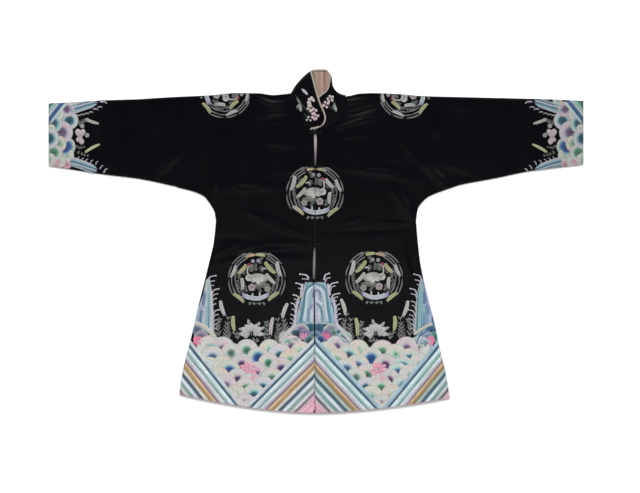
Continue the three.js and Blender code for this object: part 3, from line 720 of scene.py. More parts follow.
# along the neckline, inset, base height, free edge x, y and height, bow aside
COLLAR_LEFT = np.array([
    (-0.985, 0.1, 8.2, 7, 321, 8.7, 0), (-0.94, 0.1, 8.0, 18, 330, 8.7, 0),
    (-0.86, 0.1, 7.4, 22.5, 344, 8.7, 0), (-0.77, 0.1, 6.0, 19, 361, 8.7, 0),
    (-0.68, 0.1, 5.2, 8, 386, 8.7, 0), (-0.6, 0.4, 5.8, -2, 417, 8.7, 2),
    (-0.51, 1.2, 6.6, -16, 470, 8.7, 4),
])
COLLAR_BACK = np.array([
    (-0.49, 1.2, 1.0, -15.5, 476.5, 1.0, 4), (-0.3, 1.6, 1.0, -7, 478.2, 1.0, 2),
    (0.0, 0.5, 1.0, 10, 478.6, 1.0, 8), (0.3, 1.2, 1.0, 29, 476.6, 1.0, 15),
    (0.49, 2.6, 1.0, 42, 460, 1.0, 15),
])
COLLAR_RIGHT = np.array([
    (0.51, 2.6, 6.4, 41.5, 459, 6.0, 15), (0.56, 0.8, 6.0, 38, 436, 6.0, 11),
    (0.62, 0.8, 5.6, 31, 420, 5.8, 5), (0.7, 0.1, 5.0, 14, 406, 5.5, 1),
    (0.8, 0.1, 4.9, -2, 384, 5.5, 0), (0.89, 0.1, 5.2, -7, 356, 5.5, 0),
    (0.96, 0.1, 5.3, -5, 333, 5.5, 0),
])


# %% From lines to a band
def stations(table, steps):
    """Every column of a table read between its rows: a cubic through four rows at a time, whose
    slope at a row is half the difference of its neighbours."""
    padded = np.concatenate([table[:1], table, table[-1:]])
    place = np.linspace(0, len(table) - 1, (len(table) - 1) * steps + 1)
    i = np.minimum(place.astype(int), len(table) - 2)
    t = (place - i)[:, None]
    before, here, there, after = (padded[i + k] for k in range(4))
    return 0.5 * (
        2 * here + (there - before) * t
        + (2 * before - 5 * here + 4 * there - after) * t**2
        + (3 * here - before - 3 * there + after) * t**3
    )


def neckline(along):
    """X and Y on the neckline, two quarter ellipses a side: -1 and 1 are the front neck point,
    -0.5 and 0.5 the shoulders, 0 the centre back."""
    side_x = np.where(along < 0, NECK_SIDE_X[-1], NECK_SIDE_X[1])
    side_y = np.where(along < 0, *(shoulder[k](abs(NECK_SIDE_X[k])) for k in (-1, 1))) - TURN
    share = np.abs(along)
    angle = np.abs(share - 0.5) * math.pi
    in_front = share >= 0.5
    start = np.where(in_front, NECK[0], NECK[0] * np.sin(angle))
    low = np.where(in_front, NECK[1], BACK_NECK_Y)
    return start + (side_x - start) * np.cos(angle), side_y - (side_y - low) * np.sin(angle)


def band(table, share):
    """Lines of one band: foot + (free - foot) * share, bent aside by 4 * bow * share * (1 -
    share), and climbing by a smoothstep to the free edge's height."""
    along, inset, base, free_x, free_y, free_z, bow = stations(table, LINES_PER_STATION).T
    seam_x, seam_y = neckline(along)
    length = np.hypot(free_x - seam_x, free_y - seam_y)
    to_x, to_y = (free_x - seam_x) / length, (free_y - seam_y) / length
    pull = inset / COLLAR_REACH
    foot_x = (seam_x + to_x * COLLAR_SEAM) * (1 - pull) + COLLAR_MIDDLE[0] * pull
    foot_y = (seam_y + to_y * COLLAR_SEAM) * (1 - pull) + COLLAR_MIDDLE[1] * pull
    s = share[None, :]
    aside = 4 * bow[:, None] * s * (1 - s)
    x = foot_x[:, None] * (1 - s) + free_x[:, None] * s - to_y[:, None] * aside
    y = foot_y[:, None] * (1 - s) + free_y[:, None] * s + to_x[:, None] * aside
    rise = smoothstep(0, COLLAR_RISE_END, s)
    z = base[:, None] * (1 - rise) + free_z[:, None] * rise
    u = np.broadcast_to(along[:, None] * HALF_NECK, x.shape)
    return np.stack([x, y, z, u, s * length[:, None]], axis=-1)


def collar_lines(share):
    """All lines round the neck: left front, fold, back, fold, right front."""
    left, back, right = (band(table, share) for table in (COLLAR_LEFT, COLLAR_BACK, COLLAR_RIGHT))
    left_fold = half_turn(left[-1], back[0], square_to(left[-1][:, :2], -1), TURN_ROWS)
    right_fold = half_turn(right[0], back[-1], square_to(right[0][:, :2], 1), TURN_ROWS)
    return np.concatenate([left, left_fold[1:-1], back, right_fold[::-1][1:-1], right])


def grid_normals(grid):
    """Unit normals of a grid: the cross product of its two directions."""
    down, along = np.gradient(grid[..., :3], axis=0), np.gradient(grid[..., :3], axis=1)
    normal = np.cross(along, down)
    return normal / np.maximum(np.linalg.norm(normal, axis=-1, keepdims=True), 1e-9)


collar_grid = collar_lines(np.linspace(0, SHELL_END, COLLAR_ROWS))
print("collar", collar_grid.shape, "heights", collar_grid[..., 2].min(), collar_grid[..., 2].max())

# %% [markdown]
# The satin lies on the side to which the grid's normals point. The lining follows the band a
# millimetre inside it. It is thin silk, cut on the large side, so it wrinkles down the band.

# %% Collar shell and lining
LINING_SHIFT = 1.25
LINING_WALL = 0.6
WRINKLES = np.array([
    # place round the neck, width, depth, slant
    (-0.40, 0.020, 0.8, 0.05), (-0.33, 0.015, 0.5, -0.03), (-0.26, 0.022, 0.9, 0.06),
    (-0.19, 0.014, 0.6, 0.02), (-0.12, 0.020, 0.8, -0.05), (-0.05, 0.016, 0.5, 0.04),
    (0.02, 0.024, 0.9, -0.03), (0.10, 0.015, 0.6, 0.05), (0.17, 0.020, 0.8, 0.02),
    (0.25, 0.016, 0.6, -0.06), (0.33, 0.022, 0.8, 0.03), (0.41, 0.018, 0.6, 0.0),
    (-0.62, 0.022, 0.5, 0.04), (-0.78, 0.020, 0.4, -0.04), (0.64, 0.020, 0.5, 0.03),
    (0.80, 0.022, 0.4, -0.03),
])

collar_shell = sew("satin_collar", [collar_grid[:, ::-1]])
give_wall(collar_shell, WALL)
lining_share = np.linspace(0.0, LINING_END, COLLAR_ROWS)
lining_grid = collar_lines(lining_share)
round_neck = lining_grid[..., 3] / HALF_NECK
wrinkle = sum(
    deep * np.exp(-(((round_neck - at + slant * lining_share[None, :]) / wide) ** 2))
    for at, wide, deep, slant in WRINKLES
)
wrinkle = wrinkle * smoothstep(0, 0.12, 1 - lining_share)[None, :]
inside = -(LINING_SHIFT + wrinkle * 0.8)
lining_grid[..., :3] += grid_normals(lining_grid) * inside[..., None]
collar_lining = sew("silk_collar_lining", [lining_grid[:, ::-1]])
give_wall(collar_lining, LINING_WALL)
print("collar lining", len(collar_lining.data.polygons), "faces")


# %% [markdown]
# ## Piping and other tubes
#
# The collar's free edge is bound with a padded silk piping, sewn on along its whole length. A curve
# with a bevel would give such a tube, but its profile couldn't follow the tilt of the band. So one
# helper carries an ellipse along a path, with its own side and up at each point and rounded ends.
# The cords of the buttons use it too.

# %% Tubes
END_RINGS = 3


def tube(path, side, up, around=12):
    """A closed tube: centre + side * cos + up * sin round a path, with the ends rounded by rings
    that go out by radius * sin(angle) while they shrink by cos(angle). u runs along, v round."""
    step = np.linalg.norm(np.diff(path, axis=0), axis=1)
    travelled = np.concatenate([[0], np.cumsum(step)])
    reach = np.minimum(np.linalg.norm(side, axis=1), np.linalg.norm(up, axis=1))
    out_start = (path[0] - path[1]) / step[0]
    out_end = (path[-1] - path[-2]) / step[-1]
    angle = np.linspace(0, math.pi / 2, END_RINGS + 1)[1:, None]
    shrink = np.maximum(np.cos(angle), 1e-4)
    head = path[0] + out_start * reach[0] * np.sin(angle)
    foot = path[-1] + out_end * reach[-1] * np.sin(angle)
    centres = np.concatenate([head[::-1], path, foot])
    sides = np.concatenate([(side[0] * shrink)[::-1], side, side[-1] * shrink])
    ups = np.concatenate([(up[0] * shrink)[::-1], up, up[-1] * shrink])
    along = np.concatenate([
        travelled[0] - reach[0] * np.sin(angle[::-1, 0]), travelled,
        travelled[-1] + reach[-1] * np.sin(angle[:, 0]),
    ])
    turn = np.linspace(0, 2 * math.pi, around + 1)[None, :, None]
    ring = centres[:, None] + sides[:, None] * np.cos(turn) + ups[:, None] * np.sin(turn)
    v = np.broadcast_to(turn[..., 0] * reach.mean(), ring.shape[:2])
    u = np.broadcast_to(along[:, None], ring.shape[:2])
    return np.concatenate([ring, u[..., None], v[..., None]], axis=-1)


# %% Piping along the collar's free edge
PIPING = {"half_width": 2.5, "half_height": 1.0, "reach": 3.2, "shift": 0.5}
PIPING_TAIL = np.array([(-15.5, 314.5, 8.6), (-11, 317, 9.6), (-4, 317.5, 9.9), (3, 320, 9.7)])

edge_lines = collar_lines(np.array([0.95, 1.0, 1.05]))
edge_normals = grid_normals(edge_lines)[:, 1]
outward = edge_lines[:, 1, :3] - edge_lines[:, 0, :3]
outward[:, 2] = 0
piping_path = edge_lines[:, 1, :3] + unit(outward) * PIPING["reach"]
piping_path -= edge_normals * PIPING["shift"]
piping_path = np.concatenate([PIPING_TAIL, piping_path])
piping_up = np.concatenate([edge_normals[:1].repeat(len(PIPING_TAIL), axis=0), edge_normals])
piping_side = unit(np.cross(np.gradient(piping_path, axis=0), piping_up))
piping_grid = tube(
    piping_path, piping_side * PIPING["half_width"], piping_up * PIPING["half_height"], around=14
)
piping = sew("silk_piping", [piping_grid])
print("piping", round(float(np.linalg.norm(np.diff(piping_path, axis=0), axis=1).sum())), "mm")

# %% [markdown]
# ## Lining in the slits
#
# Between the buttons the fronts gape, and the lining of the back shows as a pale line: warm near the
# neck; grey lower down, with painted shade where the slit is narrow. Only that strip of it is made.

# %% Lining strip
STRIP = {"left": -22, "right": 16, "bottom": -135, "top": 396, "level": 2.35, "wall": 0.9}
STRIP_COLOUR_AND_SHADE = np.array([
    # height, red, green, blue: the lining's own warm grey, with painted shade where the slit is
    # narrow and deep
    (-135, 92, 88, 92), (-60, 118, 112, 116), (-20, 108, 100, 104), (210, 66, 62, 68),
    (240, 104, 92, 98), (270, 150, 138, 142), (300, 176, 166, 170), (330, 176, 160, 156),
    (396, 164, 140, 128),
])

strip_y = np.linspace(STRIP["bottom"], STRIP["top"], 150)[:, None]
strip_x = np.linspace(STRIP["left"], STRIP["right"], 13)[None, :]
strip_z = STRIP["level"] + 0.25 * np.sin(strip_y / 17 + strip_x / 9) * np.sin(strip_y / 41)
strip_x, strip_y = np.broadcast_arrays(strip_x, strip_y)
strip_grid = layer_grid(strip_x, strip_y, strip_z, strip_y)
lining_strip = sew("silk_lining_strip", [strip_grid])
give_wall(lining_strip, STRIP["wall"])


def tint_by(piece, axis, stops):
    """A colour for each point, read from a table of places and 8-bit colours along one axis."""
    place = np.empty(len(piece.data.vertices) * 3, np.float32)
    piece.data.vertices.foreach_get("co", place)
    at = place.reshape(-1, 3)[:, axis] / MM
    colour_points(piece.data, srgb(*[np.interp(at, stops[:, 0], stops[:, k]) for k in (1, 2, 3)]).T)


tint_by(lining_strip, 1, STRIP_COLOUR_AND_SHADE)
print("lining strip", STRIP["top"] - STRIP["bottom"], "mm long")

# %% [markdown]
# ## Knotted buttons
#
# Each fastening is sewn from satin cord. On the left a loop, on the right a strap that ends in a
# ball: the cord goes over and under itself until it closes. The ball is drawn as a curve on a
# flattened sphere that goes three times round while it swings up and down four times.

# %% Cords and knots
FROGS = {
    #          x, y, reach of each half
    "neck": (-3, 305, 19),
    "chest": (-2.5, 210, 20),
    "waist": (-3, -10, 23),
    "lower": (-6.5, -110, 28),
}
CORD_RADIUS = 1.2
CORD_GAP = 0.3
EYE_RADIUS = 4.0        # the loop's eye
EYE_MOUTH = 0.45        # radians of the eye that stay open, to each side
LEG_END = 6.5
STRAP_RADIUS = 1.15
STRAP_GAP = 1.25        # from the strap's middle to each of its cords
KNOT_RADIUS = 4.8
KNOT_HALF_HEIGHT = 2.8
KNOT_NECK = 2.0
BALL_CORD = (1.15, 0.75)        # half width and half height of the cord round the ball
CORE_SHARE = (0.8, 0.85)        # the ball's core, across and up, as a share of the ball
print("fastenings:", ", ".join(FROGS))


# %% Cord and loop
def front_top(x, y):
    """Height of the front's upper face."""
    return front_middle(x, y) + WALL / 2


def side_and_up(path, away):
    """Unit vectors square to a path: side = along x away, up = side x along."""
    along = unit(np.gradient(path, axis=0))
    side = unit(np.cross(along, away))
    return side, np.cross(side, along)


def cord(path, radius):
    """A round cord along a nearly level path."""
    side, up = side_and_up(path, [0.0, 0.0, 1.0])
    return tube(path, -side * radius, up * radius, around=10)


def loop_path(x, y, reach):
    """In from the left, round the knot's neck over the strap, and back."""
    gap = CORD_RADIUS + CORD_GAP / 2
    leg = np.linspace(x - reach, x - LEG_END, 12)
    turn = np.linspace(math.pi - EYE_MOUTH, EYE_MOUTH - math.pi, 26)
    eye_x, eye_y = x + EYE_RADIUS * np.cos(turn), y + EYE_RADIUS * np.sin(turn)
    flat_x = np.concatenate([leg, eye_x, leg[::-1]])
    flat_y = np.concatenate([np.full(12, y + gap), eye_y, np.full(12, y - gap)])
    over = (2 * CORD_RADIUS + CORD_GAP) * smoothstep(-EYE_RADIUS, EYE_RADIUS * 0.3, flat_x - x)
    z = front_top(flat_x, flat_y) + CORD_GAP / 2 + CORD_RADIUS + over
    return np.stack([flat_x, flat_y, z], axis=1)


# %% Ball, strap and the finished fastenings
def ball(x, y, z):
    """The woven ball: a core, and a cord whose turn is 3t and whose tilt swings with 4t."""
    t = np.linspace(0, 2 * math.pi, 181)
    tilt = 1.12 * np.sin(4 * t)
    out = 0.80 + 0.10 * np.cos(6 * t + 0.4)
    flat = KNOT_RADIUS * out * np.cos(tilt)
    path = np.stack([
        x + flat * np.cos(3 * t), y + flat * np.sin(3 * t),
        z + KNOT_HALF_HEIGHT * out * np.sin(tilt),
    ], axis=1)
    side, up = side_and_up(path, path - np.array([x, y, z]))
    weave = tube(path, -side * BALL_CORD[0], up * BALL_CORD[1], around=8)
    height = np.linspace(-math.pi / 2, math.pi / 2, 13)[:, None]
    turn = np.linspace(0, 2 * math.pi, 25)[None, :]
    radius = np.maximum(np.cos(height), 1e-4) * KNOT_RADIUS * CORE_SHARE[0]
    core = np.stack(np.broadcast_arrays(
        x + radius * np.cos(turn), y + radius * np.sin(turn),
        z + KNOT_HALF_HEIGHT * CORE_SHARE[1] * np.sin(height),
        turn * KNOT_RADIUS, height * KNOT_RADIUS), axis=-1)
    return [weave, core[:, ::-1]]


def knot_grids(x, y, reach):
    """Two cords side by side from the right, a neck through the loop, and the ball on top."""
    grids = []
    for side in (-1, 1):
        strap_x = np.linspace(x + reach, x + 0.8, 16)
        strap_y = np.full(16, y + side * STRAP_GAP)
        z = front_top(strap_x, strap_y) + CORD_GAP / 2 + STRAP_RADIUS
        grids.append(cord(np.stack([strap_x, strap_y, z], axis=1), STRAP_RADIUS))
    ground = float(front_top(np.array(x), np.array(y)))
    low = ground + CORD_RADIUS
    top = ground + 4 * STRAP_RADIUS + 3 * CORD_GAP + KNOT_HALF_HEIGHT * 0.7
    neck = np.stack([np.full(6, x), np.full(6, y), np.linspace(low, top, 6)], axis=1)
    across = np.tile([[KNOT_NECK, 0, 0]], (6, 1)).astype(float)
    grids.append(tube(neck, across, across[:, [1, 0, 2]], around=12))
    return grids + ball(x, y, top + CORD_GAP)


frog_pieces = {}
for name, (x, y, reach) in FROGS.items():
    frog_pieces[f"frog_{name}_loop"] = sew(
        f"cord_{name}_loop", [cord(loop_path(x, y, reach), CORD_RADIUS)])
    frog_pieces[f"frog_{name}_knot"] = sew(f"cord_{name}_knot", knot_grids(x, y, reach))
print(len(frog_pieces), "cord pieces")

# %% [markdown]
# ## Silk embroidery
#
# All the colour is satin stitch: flat floss laid side by side, which stands a little proud of the
# cloth and shines along its threads. Each stitched shape here is a low padded band along a spine:
# its width may change, which makes a leaf, a petal or a stem out of the same rule. A band is a grid
# of (rows, columns, 8) numbers: x, y, height over the cloth, place u and v along and across the
# threads, and red, green, blue.

# %% Padded bands
SINK = -0.15            # the edge of a shape goes this far into the cloth
PAD_POWER = 2.4         # of the padding's section: the higher, the flatter on top
FULL_PAD = 1.6          # half width from which a band has all its padding
EDGE_POWER = 1.5        # of the way in which the edge's colour comes in


def mix(one, other, share):
    """Between two colours or two arrays."""
    return np.asarray(one, float) * (1 - share) + np.asarray(other, float) * share


def band_of_stitches(x, y, half, tint, tip=None, edge=None, crown=0.55, lift=0.0, across=5,
                     ease=0.75):
    """A padded band: points = spine + square * half * c, with c from 1 on the left to -1 on the
    right, and height = crown * (1 - |c|^2.4). The colour runs from tint to tip along the band,
    and towards edge at both sides."""
    x, y = np.asarray(x, float), np.asarray(y, float)
    half = np.broadcast_to(np.asarray(half, float), x.shape)
    step_x, step_y = np.gradient(x), np.gradient(y)
    length = np.maximum(np.hypot(step_x, step_y), 1e-9)
    c = np.linspace(1, -1, across)
    c = np.sign(c) * np.abs(c) ** ease
    grid = np.empty((len(x), across, 8))
    grid[..., 0] = x[:, None] - (step_y / length * half)[:, None] * c
    grid[..., 1] = y[:, None] + (step_x / length * half)[:, None] * c
    body = 1 - np.abs(c) ** PAD_POWER
    padding = crown * np.minimum(1, half / FULL_PAD)
    grid[..., 2] = lift + padding[:, None] * body
    grid[:, [0, -1], 2] = SINK
    grid[..., 3] = (np.cumsum(length) - length[0])[:, None]
    grid[..., 4] = half[:, None] * c
    share = np.linspace(0, 1, len(x))[:, None, None]
    along = mix(tint, tint if tip is None else tip, share)
    side = np.abs(c)[None, :, None] ** EDGE_POWER
    grid[..., 5:] = along if edge is None else mix(along, edge, side)
    return grid


# %% Bands from a few points
PROFILES = {
    # share of the full width at a share of the length
    "leaf": lambda t: np.sin(math.pi * t) ** 0.75,
    "ear": lambda t: np.sin(math.pi * t) ** 0.42,
    "petal": lambda t: np.sin(math.pi * t**1.7) ** 0.7,
    "stem": lambda t: np.minimum(1, 8 * np.minimum(t, 1 - t)) ** 0.5,
    "taper": lambda t: (1 - t) ** 0.7,
    "horn": lambda t: 1 - 0.45 * t,
}


def shares(rows):
    """Places along a band, from just past its start to just before its end."""
    return np.linspace(0.004, 0.996, rows)


def blade(start, end, wide, tint, bend=0.0, profile="leaf", rows=9, **more):
    """A band from start to end, bent aside by 4 * bend * t * (1 - t), as wide as its profile."""
    t = shares(rows)
    dx, dy = end[0] - start[0], end[1] - start[1]
    length = max(math.hypot(dx, dy), 1e-6)
    aside = 4 * bend * t * (1 - t) / length
    x = start[0] + dx * t - dy * aside
    y = start[1] + dy * t + dx * aside
    return band_of_stitches(x, y, PROFILES[profile](t) * wide / 2, tint, **more)


def ray(x, y, angle, near, far, wide, tint, **more):
    """A band that points away from a place, at an angle in degrees and between two distances."""
    c, s = cos_sin(angle)
    return blade((x + near * c, y + near * s), (x + far * c, y + far * s), wide, tint, **more)


def dot(x, y, size, tint, **more):
    """A round pad: a band as long as it is wide."""
    return blade((x - size / 2, y), (x + size / 2, y), size, tint, profile="ear", **more)


def arc(x, y, radius, start, end, wide, tint, rows=9, profile="stem", **more):
    """A band round a centre, between two angles in degrees."""
    t = shares(rows)
    angle = np.radians(start + (end - start) * t)
    return band_of_stitches(x + radius * np.cos(angle), y + radius * np.sin(angle),
                            PROFILES[profile](t) * wide / 2, tint, **more)


def through(points, wide, tint, tip=None, rows=16, profile="stem", **more):
    """A band along a smooth curve through a few points."""
    path = stations(np.array(points, float), max(2, rows // (len(points) - 1)))
    half = PROFILES[profile](shares(len(path))) * wide / 2
    return band_of_stitches(path[:, 0], path[:, 1], half, tint, tip, **more)


# %% [markdown]
# Waves need a second rule. A scallop is worked from its centre outward, so its grid runs round it
# and outward. It is tipped up toward its top, which makes rows of them lap like roof tiles.

# %% Scallops
SCALLOP_TURNS = [0, 0.72, 1.12, 1.5]    # where the inner colours lie, in sizes of the heart
SCALLOP_RIM = [0.90, 0.96, 1]           # end of the outer colour, start and end of the rim
COLOURS_END = 0.86      # the inner colours stay inside this share of the radius
RIM_SHADE = 0.8         # painted shadow: the outermost stitches are darker, where the next scallop laps over
HEART_SHADE = 0.82
DRIFTS = ((7, -4, -1), (-8, 3, 2))      # two faint shifts of colour that wander over a scallop
SCALLOP_STEPS = 33


def fan(x, top, radius, palette, turn=0.0, rise=0.9, core=1.0):
    """A scallop of a wave: floss laid from its centre outward. palette: size of the strong heart
    as a share of the radius, which core widens, then the colours from the rim inward.
    Height is rise * (0.42 + 0.58 * r * cos) plus a low swell, so the top stands highest, as on a
    roof tile, and a lower fan laps over a higher one."""
    heart, *tints = palette
    tints = np.array(tints, float)
    turns = np.array(SCALLOP_TURNS[:len(tints)]) * heart * core
    at = np.concatenate([np.minimum(turns, COLOURS_END), SCALLOP_RIM])
    rim_shadow = np.repeat(tints[:1] * RIM_SHADE, 2, axis=0)
    shade = np.concatenate([tints[-1:] * HEART_SHADE, tints[::-1], rim_shadow])
    r = np.unique(np.concatenate([at, np.linspace(0.012, 1, 9)]).clip(0.012, 1))
    tint = np.stack([np.interp(r, at, shade[:, k]) for k in range(3)], axis=-1)
    aside = np.radians(np.linspace(-180, 180, SCALLOP_STEPS))[:, None]
    angle = aside + math.radians(90 + turn)
    grid = np.empty((SCALLOP_STEPS, len(r), 8))
    grid[..., 0] = x + radius * r * np.cos(angle)
    grid[..., 1] = top - radius + radius * r * np.sin(angle)
    swell = 0.16 * np.sin(math.pi * 3 * r) ** 2 * np.clip(np.cos(aside), 0, 1)
    grid[..., 2] = rise * np.clip(0.42 + 0.58 * r * np.cos(aside), 0, 1) + swell
    grid[:, -1, 2] = SINK
    grid[..., 3] = angle * radius * 0.6
    grid[..., 4] = radius * r
    drift = 0.5 + 0.5 * np.sin(2 * angle + x / 9) * np.sin(5 * r + top / 7)
    grid[..., 5:] = tint[None] + mix(*DRIFTS, drift[..., None])
    return grid


# %% Copies
def moved(shapes, x=0.0, y=0.0, turn=0.0, scale=1.0, mirror=False):
    """Copies of shapes, mirrored left to right, scaled, turned by degrees and moved."""
    c, s = cos_sin(turn)
    copies = []
    for shape in shapes:
        copy = shape.copy()
        px, py = shape[..., 0] * scale * (-1 if mirror else 1), shape[..., 1] * scale
        copy[..., 0], copy[..., 1] = x + px * c - py * s, y + px * s + py * c
        copies.append(copy[:, ::-1] if mirror else copy)
    return copies


def painted_shade_copies(shapes, share):
    """Copies in darker colours: painted shade, for parts of the jacket that lie in less light."""
    copies = [shape.copy() for shape in shapes]
    for shape in copies:
        shape[..., 5:] *= share
    return copies


print("band profiles:", ", ".join(PROFILES))

# %% [markdown]
# ## The look of floss
#
# Untwisted silk takes the light along its threads. Each shape carries its own colour as an
# attribute, so one material serves them all. A wave texture across the band gives the threads, as
# shade and as bump, and a slow noise fades the dye unevenly.

# %% Silk floss
SEEN = 1.235            # how much brighter than its own colour a level surface looks here


def silk_floss():
    """Floss: its own colour with slow fading, threads as fine ridges across the band, a soft
    shine and a faint rim of loose fibres."""
    material, tree, shader = principled(
        "silk_floss", Specular_IOR_Level=0.35, Sheen_Weight=0.08, Sheen_Roughness=0.35)
    own = node(tree, "ShaderNodeAttribute", attribute_name="floss").outputs["Color"]
    place = node(tree, "ShaderNodeUVMap", uv_map="cloth").outputs[0]
    spot = node(tree, "ShaderNodeTexCoord").outputs["Object"]
    threads = node(tree, "ShaderNodeTexWave", {
        "Vector": place, "Scale": 330.0, "Distortion": 1.2, "Detail": 1.0, "Detail Scale": 0.6})
    worn = node(tree, "ShaderNodeTexNoise", {"Vector": spot, "Scale": 160.0, "Detail": 3.0})
    fade = node(tree, "ShaderNodeMapRange", {
        "Value": worn.outputs[0], 1: 0.3, 2: 0.75, 3: 0.84, 4: 1.08})
    # painted shade: the colour is darker in the grooves between threads
    groove = node(tree, "ShaderNodeMapRange", {"Value": threads.outputs["Fac"], 3: 0.86, 4: 1.05})
    fading_and_groove_shade = math_node(tree, "MULTIPLY", fade.outputs[0], groove.outputs[0])
    tinted = node(tree, "ShaderNodeVectorMath", {0: own}, operation="SCALE")
    tree.links.new(fading_and_groove_shade, tinted.inputs["Scale"])
    tree.links.new(tinted.outputs[0], shader.inputs["Base Color"])
    shine = node(tree, "ShaderNodeMapRange", {
        "Value": worn.outputs[0], 1: 0.3, 2: 0.7, 3: 0.36, 4: 0.5})
    tree.links.new(shine.outputs[0], shader.inputs["Roughness"])
    bump = node(tree, "ShaderNodeBump", {
        "Strength": 0.5, "Distance": 0.00015, "Height": threads.outputs["Fac"]})
    tree.links.new(bump.outputs[0], shader.inputs["Normal"])
    return material


FLOSS = silk_floss()


# %% [markdown]
# ## Laying stitches on the cloth
#
# The shapes are drawn flat. Now each point takes its height from the cloth under it, and a point
# that falls off the cloth moves back to its edge, so that a pattern can run up to the hem and the
# opening. Each shape is closed below, because real floss has a body too.

# %% Keeping stitches on the cloth
EDGE_ROOM = 0.25        # stitches stop this far inside the cloth's edge
BRIDGED = 1.2           # at an edge the threads bridge the last part of its turn
EDGE_OUTER = FRONT_MIDDLE + WALL / 2 - EDGE_MIDDLE      # radius of the outer face of a turned edge


def hem_y(side, x):
    """Height of the hem at x."""
    inner, outer = abs(OPENING[0, 1]), seam[side](HEM_Y + HEM_RISE[side]) - TURN
    share = np.clip((np.abs(x) - inner) / (outer - inner), 0, 1)
    return HEM_Y + HEM_RISE[side] * share**HEM_BOW


def kept_on_cloth(x, y, side, layer):
    """Points moved back onto one half of the jacket, and which of them had to move."""
    inner = inner_edge(side, layer, np.minimum(y, NECK[1] - 1)) + side * EDGE_ROOM
    if layer == "back":
        inner = np.zeros_like(x)
    new_x = np.where(side * (x - inner) < 0, inner, x)
    reach = side * new_x
    new_y = np.maximum(y, hem_y(side, new_x) + EDGE_ROOM)
    limit = np.where(
        new_y < UNDERARM_Y, seam[side](new_y), outer_reach(side, new_y)) - EDGE_ROOM
    sleeve = reach > UNDERSIDE[0, 0] + 1
    low = np.where(sleeve, under[side](np.minimum(reach, HALF_SPAN)) + EDGE_ROOM, -1e9)
    new_reach = np.where(new_y < UNDERARM_Y, np.minimum(reach, limit), reach)
    new_reach = np.minimum(new_reach, HALF_SPAN - EDGE_ROOM)
    above = new_y >= UNDERARM_Y
    new_y = np.where(above & sleeve, np.maximum(new_y, low), new_y)
    new_y = np.minimum(new_y, shoulder[side](new_reach) - EDGE_ROOM)
    new_x = side * new_reach
    off = (np.abs(new_x - x) > 1e-6) | (np.abs(new_y - y) > 1e-6)
    return new_x, new_y, off


def cloth_top(x, y, layer):
    """Height of the outer face: the front's top, or the back's underside, with the round turn
    near a folded edge: middle + radius * root(1 - reach^2)."""
    inward = np.maximum(inwardness(x, y), BRIDGED)
    over = np.clip((TURN - inward) / EDGE_OUTER, 0, 1)
    turn = EDGE_OUTER * np.sqrt(np.maximum(0, 1 - over**2))
    if layer == "front":
        return np.where(inward < TURN, EDGE_MIDDLE + turn, front_middle(x, y) + WALL / 2)
    return np.where(inward < TURN, EDGE_MIDDLE - turn, back_middle(x, y) - WALL / 2)


# %% From many shapes to one mesh
BACK_PADDING = 0.28     # on the underside the stitches are pressed flat
OVER_TABLE = 0.02       # and stay this far above the table


def closed_faces(rows, columns):
    """Quads of a closed band: its top, one long face under each row, and two ends whose corners
    meet in one point each. The last two point numbers are those of the ends."""
    ring = np.arange(columns)
    after = (ring + 1) % columns
    first = (np.arange(rows - 1) * columns)[:, None]
    side = np.stack([
        first + ring, first + after, first + columns + after, first + columns + ring,
    ], axis=-1).reshape(-1, 4)
    start, end = rows * columns, rows * columns + 1
    last = (rows - 1) * columns
    head = np.stack([ring * 0 + start, after, ring, ring], axis=-1)
    foot = np.stack([ring * 0 + end, last + ring, last + after, last + after], axis=-1)
    return np.concatenate([side, head, foot])


def joined(shapes, keep):
    """All shapes as one list of points and one of closed faces. keep moves points onto the cloth
    and says which it had to move; shapes that lie off the cloth altogether are left out."""
    points, faces, count = [], [], 0
    for shape in shapes:
        flat = shape.reshape(-1, 8)
        flat = np.concatenate([flat, shape[0].mean(axis=0)[None], shape[-1].mean(axis=0)[None]])
        flat[:, 0], flat[:, 1], off = keep(flat[:, 0], flat[:, 1])
        if off.all():
            continue
        points.append(flat)
        faces.append(closed_faces(*shape.shape[:2]) + count)
        count += len(flat)
    return np.concatenate(points), np.concatenate(faces)


def stitched_mesh(name, points, z, faces):
    """A mesh of floss from joined shapes and their heights."""
    place = np.stack([points[:, 0], points[:, 1], z], axis=1)
    tints = srgb(*np.clip(points[:, 5:].T, 0, 255)).T / SEEN
    piece = build_mesh(name, place, faces, points[:, 3:5])
    colour_points(piece.data, tints)
    piece.data.materials.append(FLOSS)
    triangles = sum(len(p.vertices) - 2 for p in piece.data.polygons)
    print(name, triangles, "triangles")
    return piece


def stitch(name, shapes, side, layer="front"):
    """One mesh of all stitched shapes that lie on a half of the jacket."""
    points, faces = joined(shapes, lambda x, y: kept_on_cloth(x, y, side, layer))
    ground = cloth_top(points[:, 0], points[:, 1], layer)
    if layer == "front":
        return stitched_mesh(name, points, ground + points[:, 2], faces)
    z = np.maximum(ground - BACK_PADDING * points[:, 2], OVER_TABLE)
    return stitched_mesh(name, points, z, faces[:, ::-1])

# %% [markdown]
# ## Standing water at the hem
#
# The hem is the traditional sea: straight stripes for deep water, laid as a chevron under the
# opening and as half chevrons at the sides, with rounded waves between them. One table gives the
# stripes by their distance from the first deep line, square to it, and four lines place the halves.

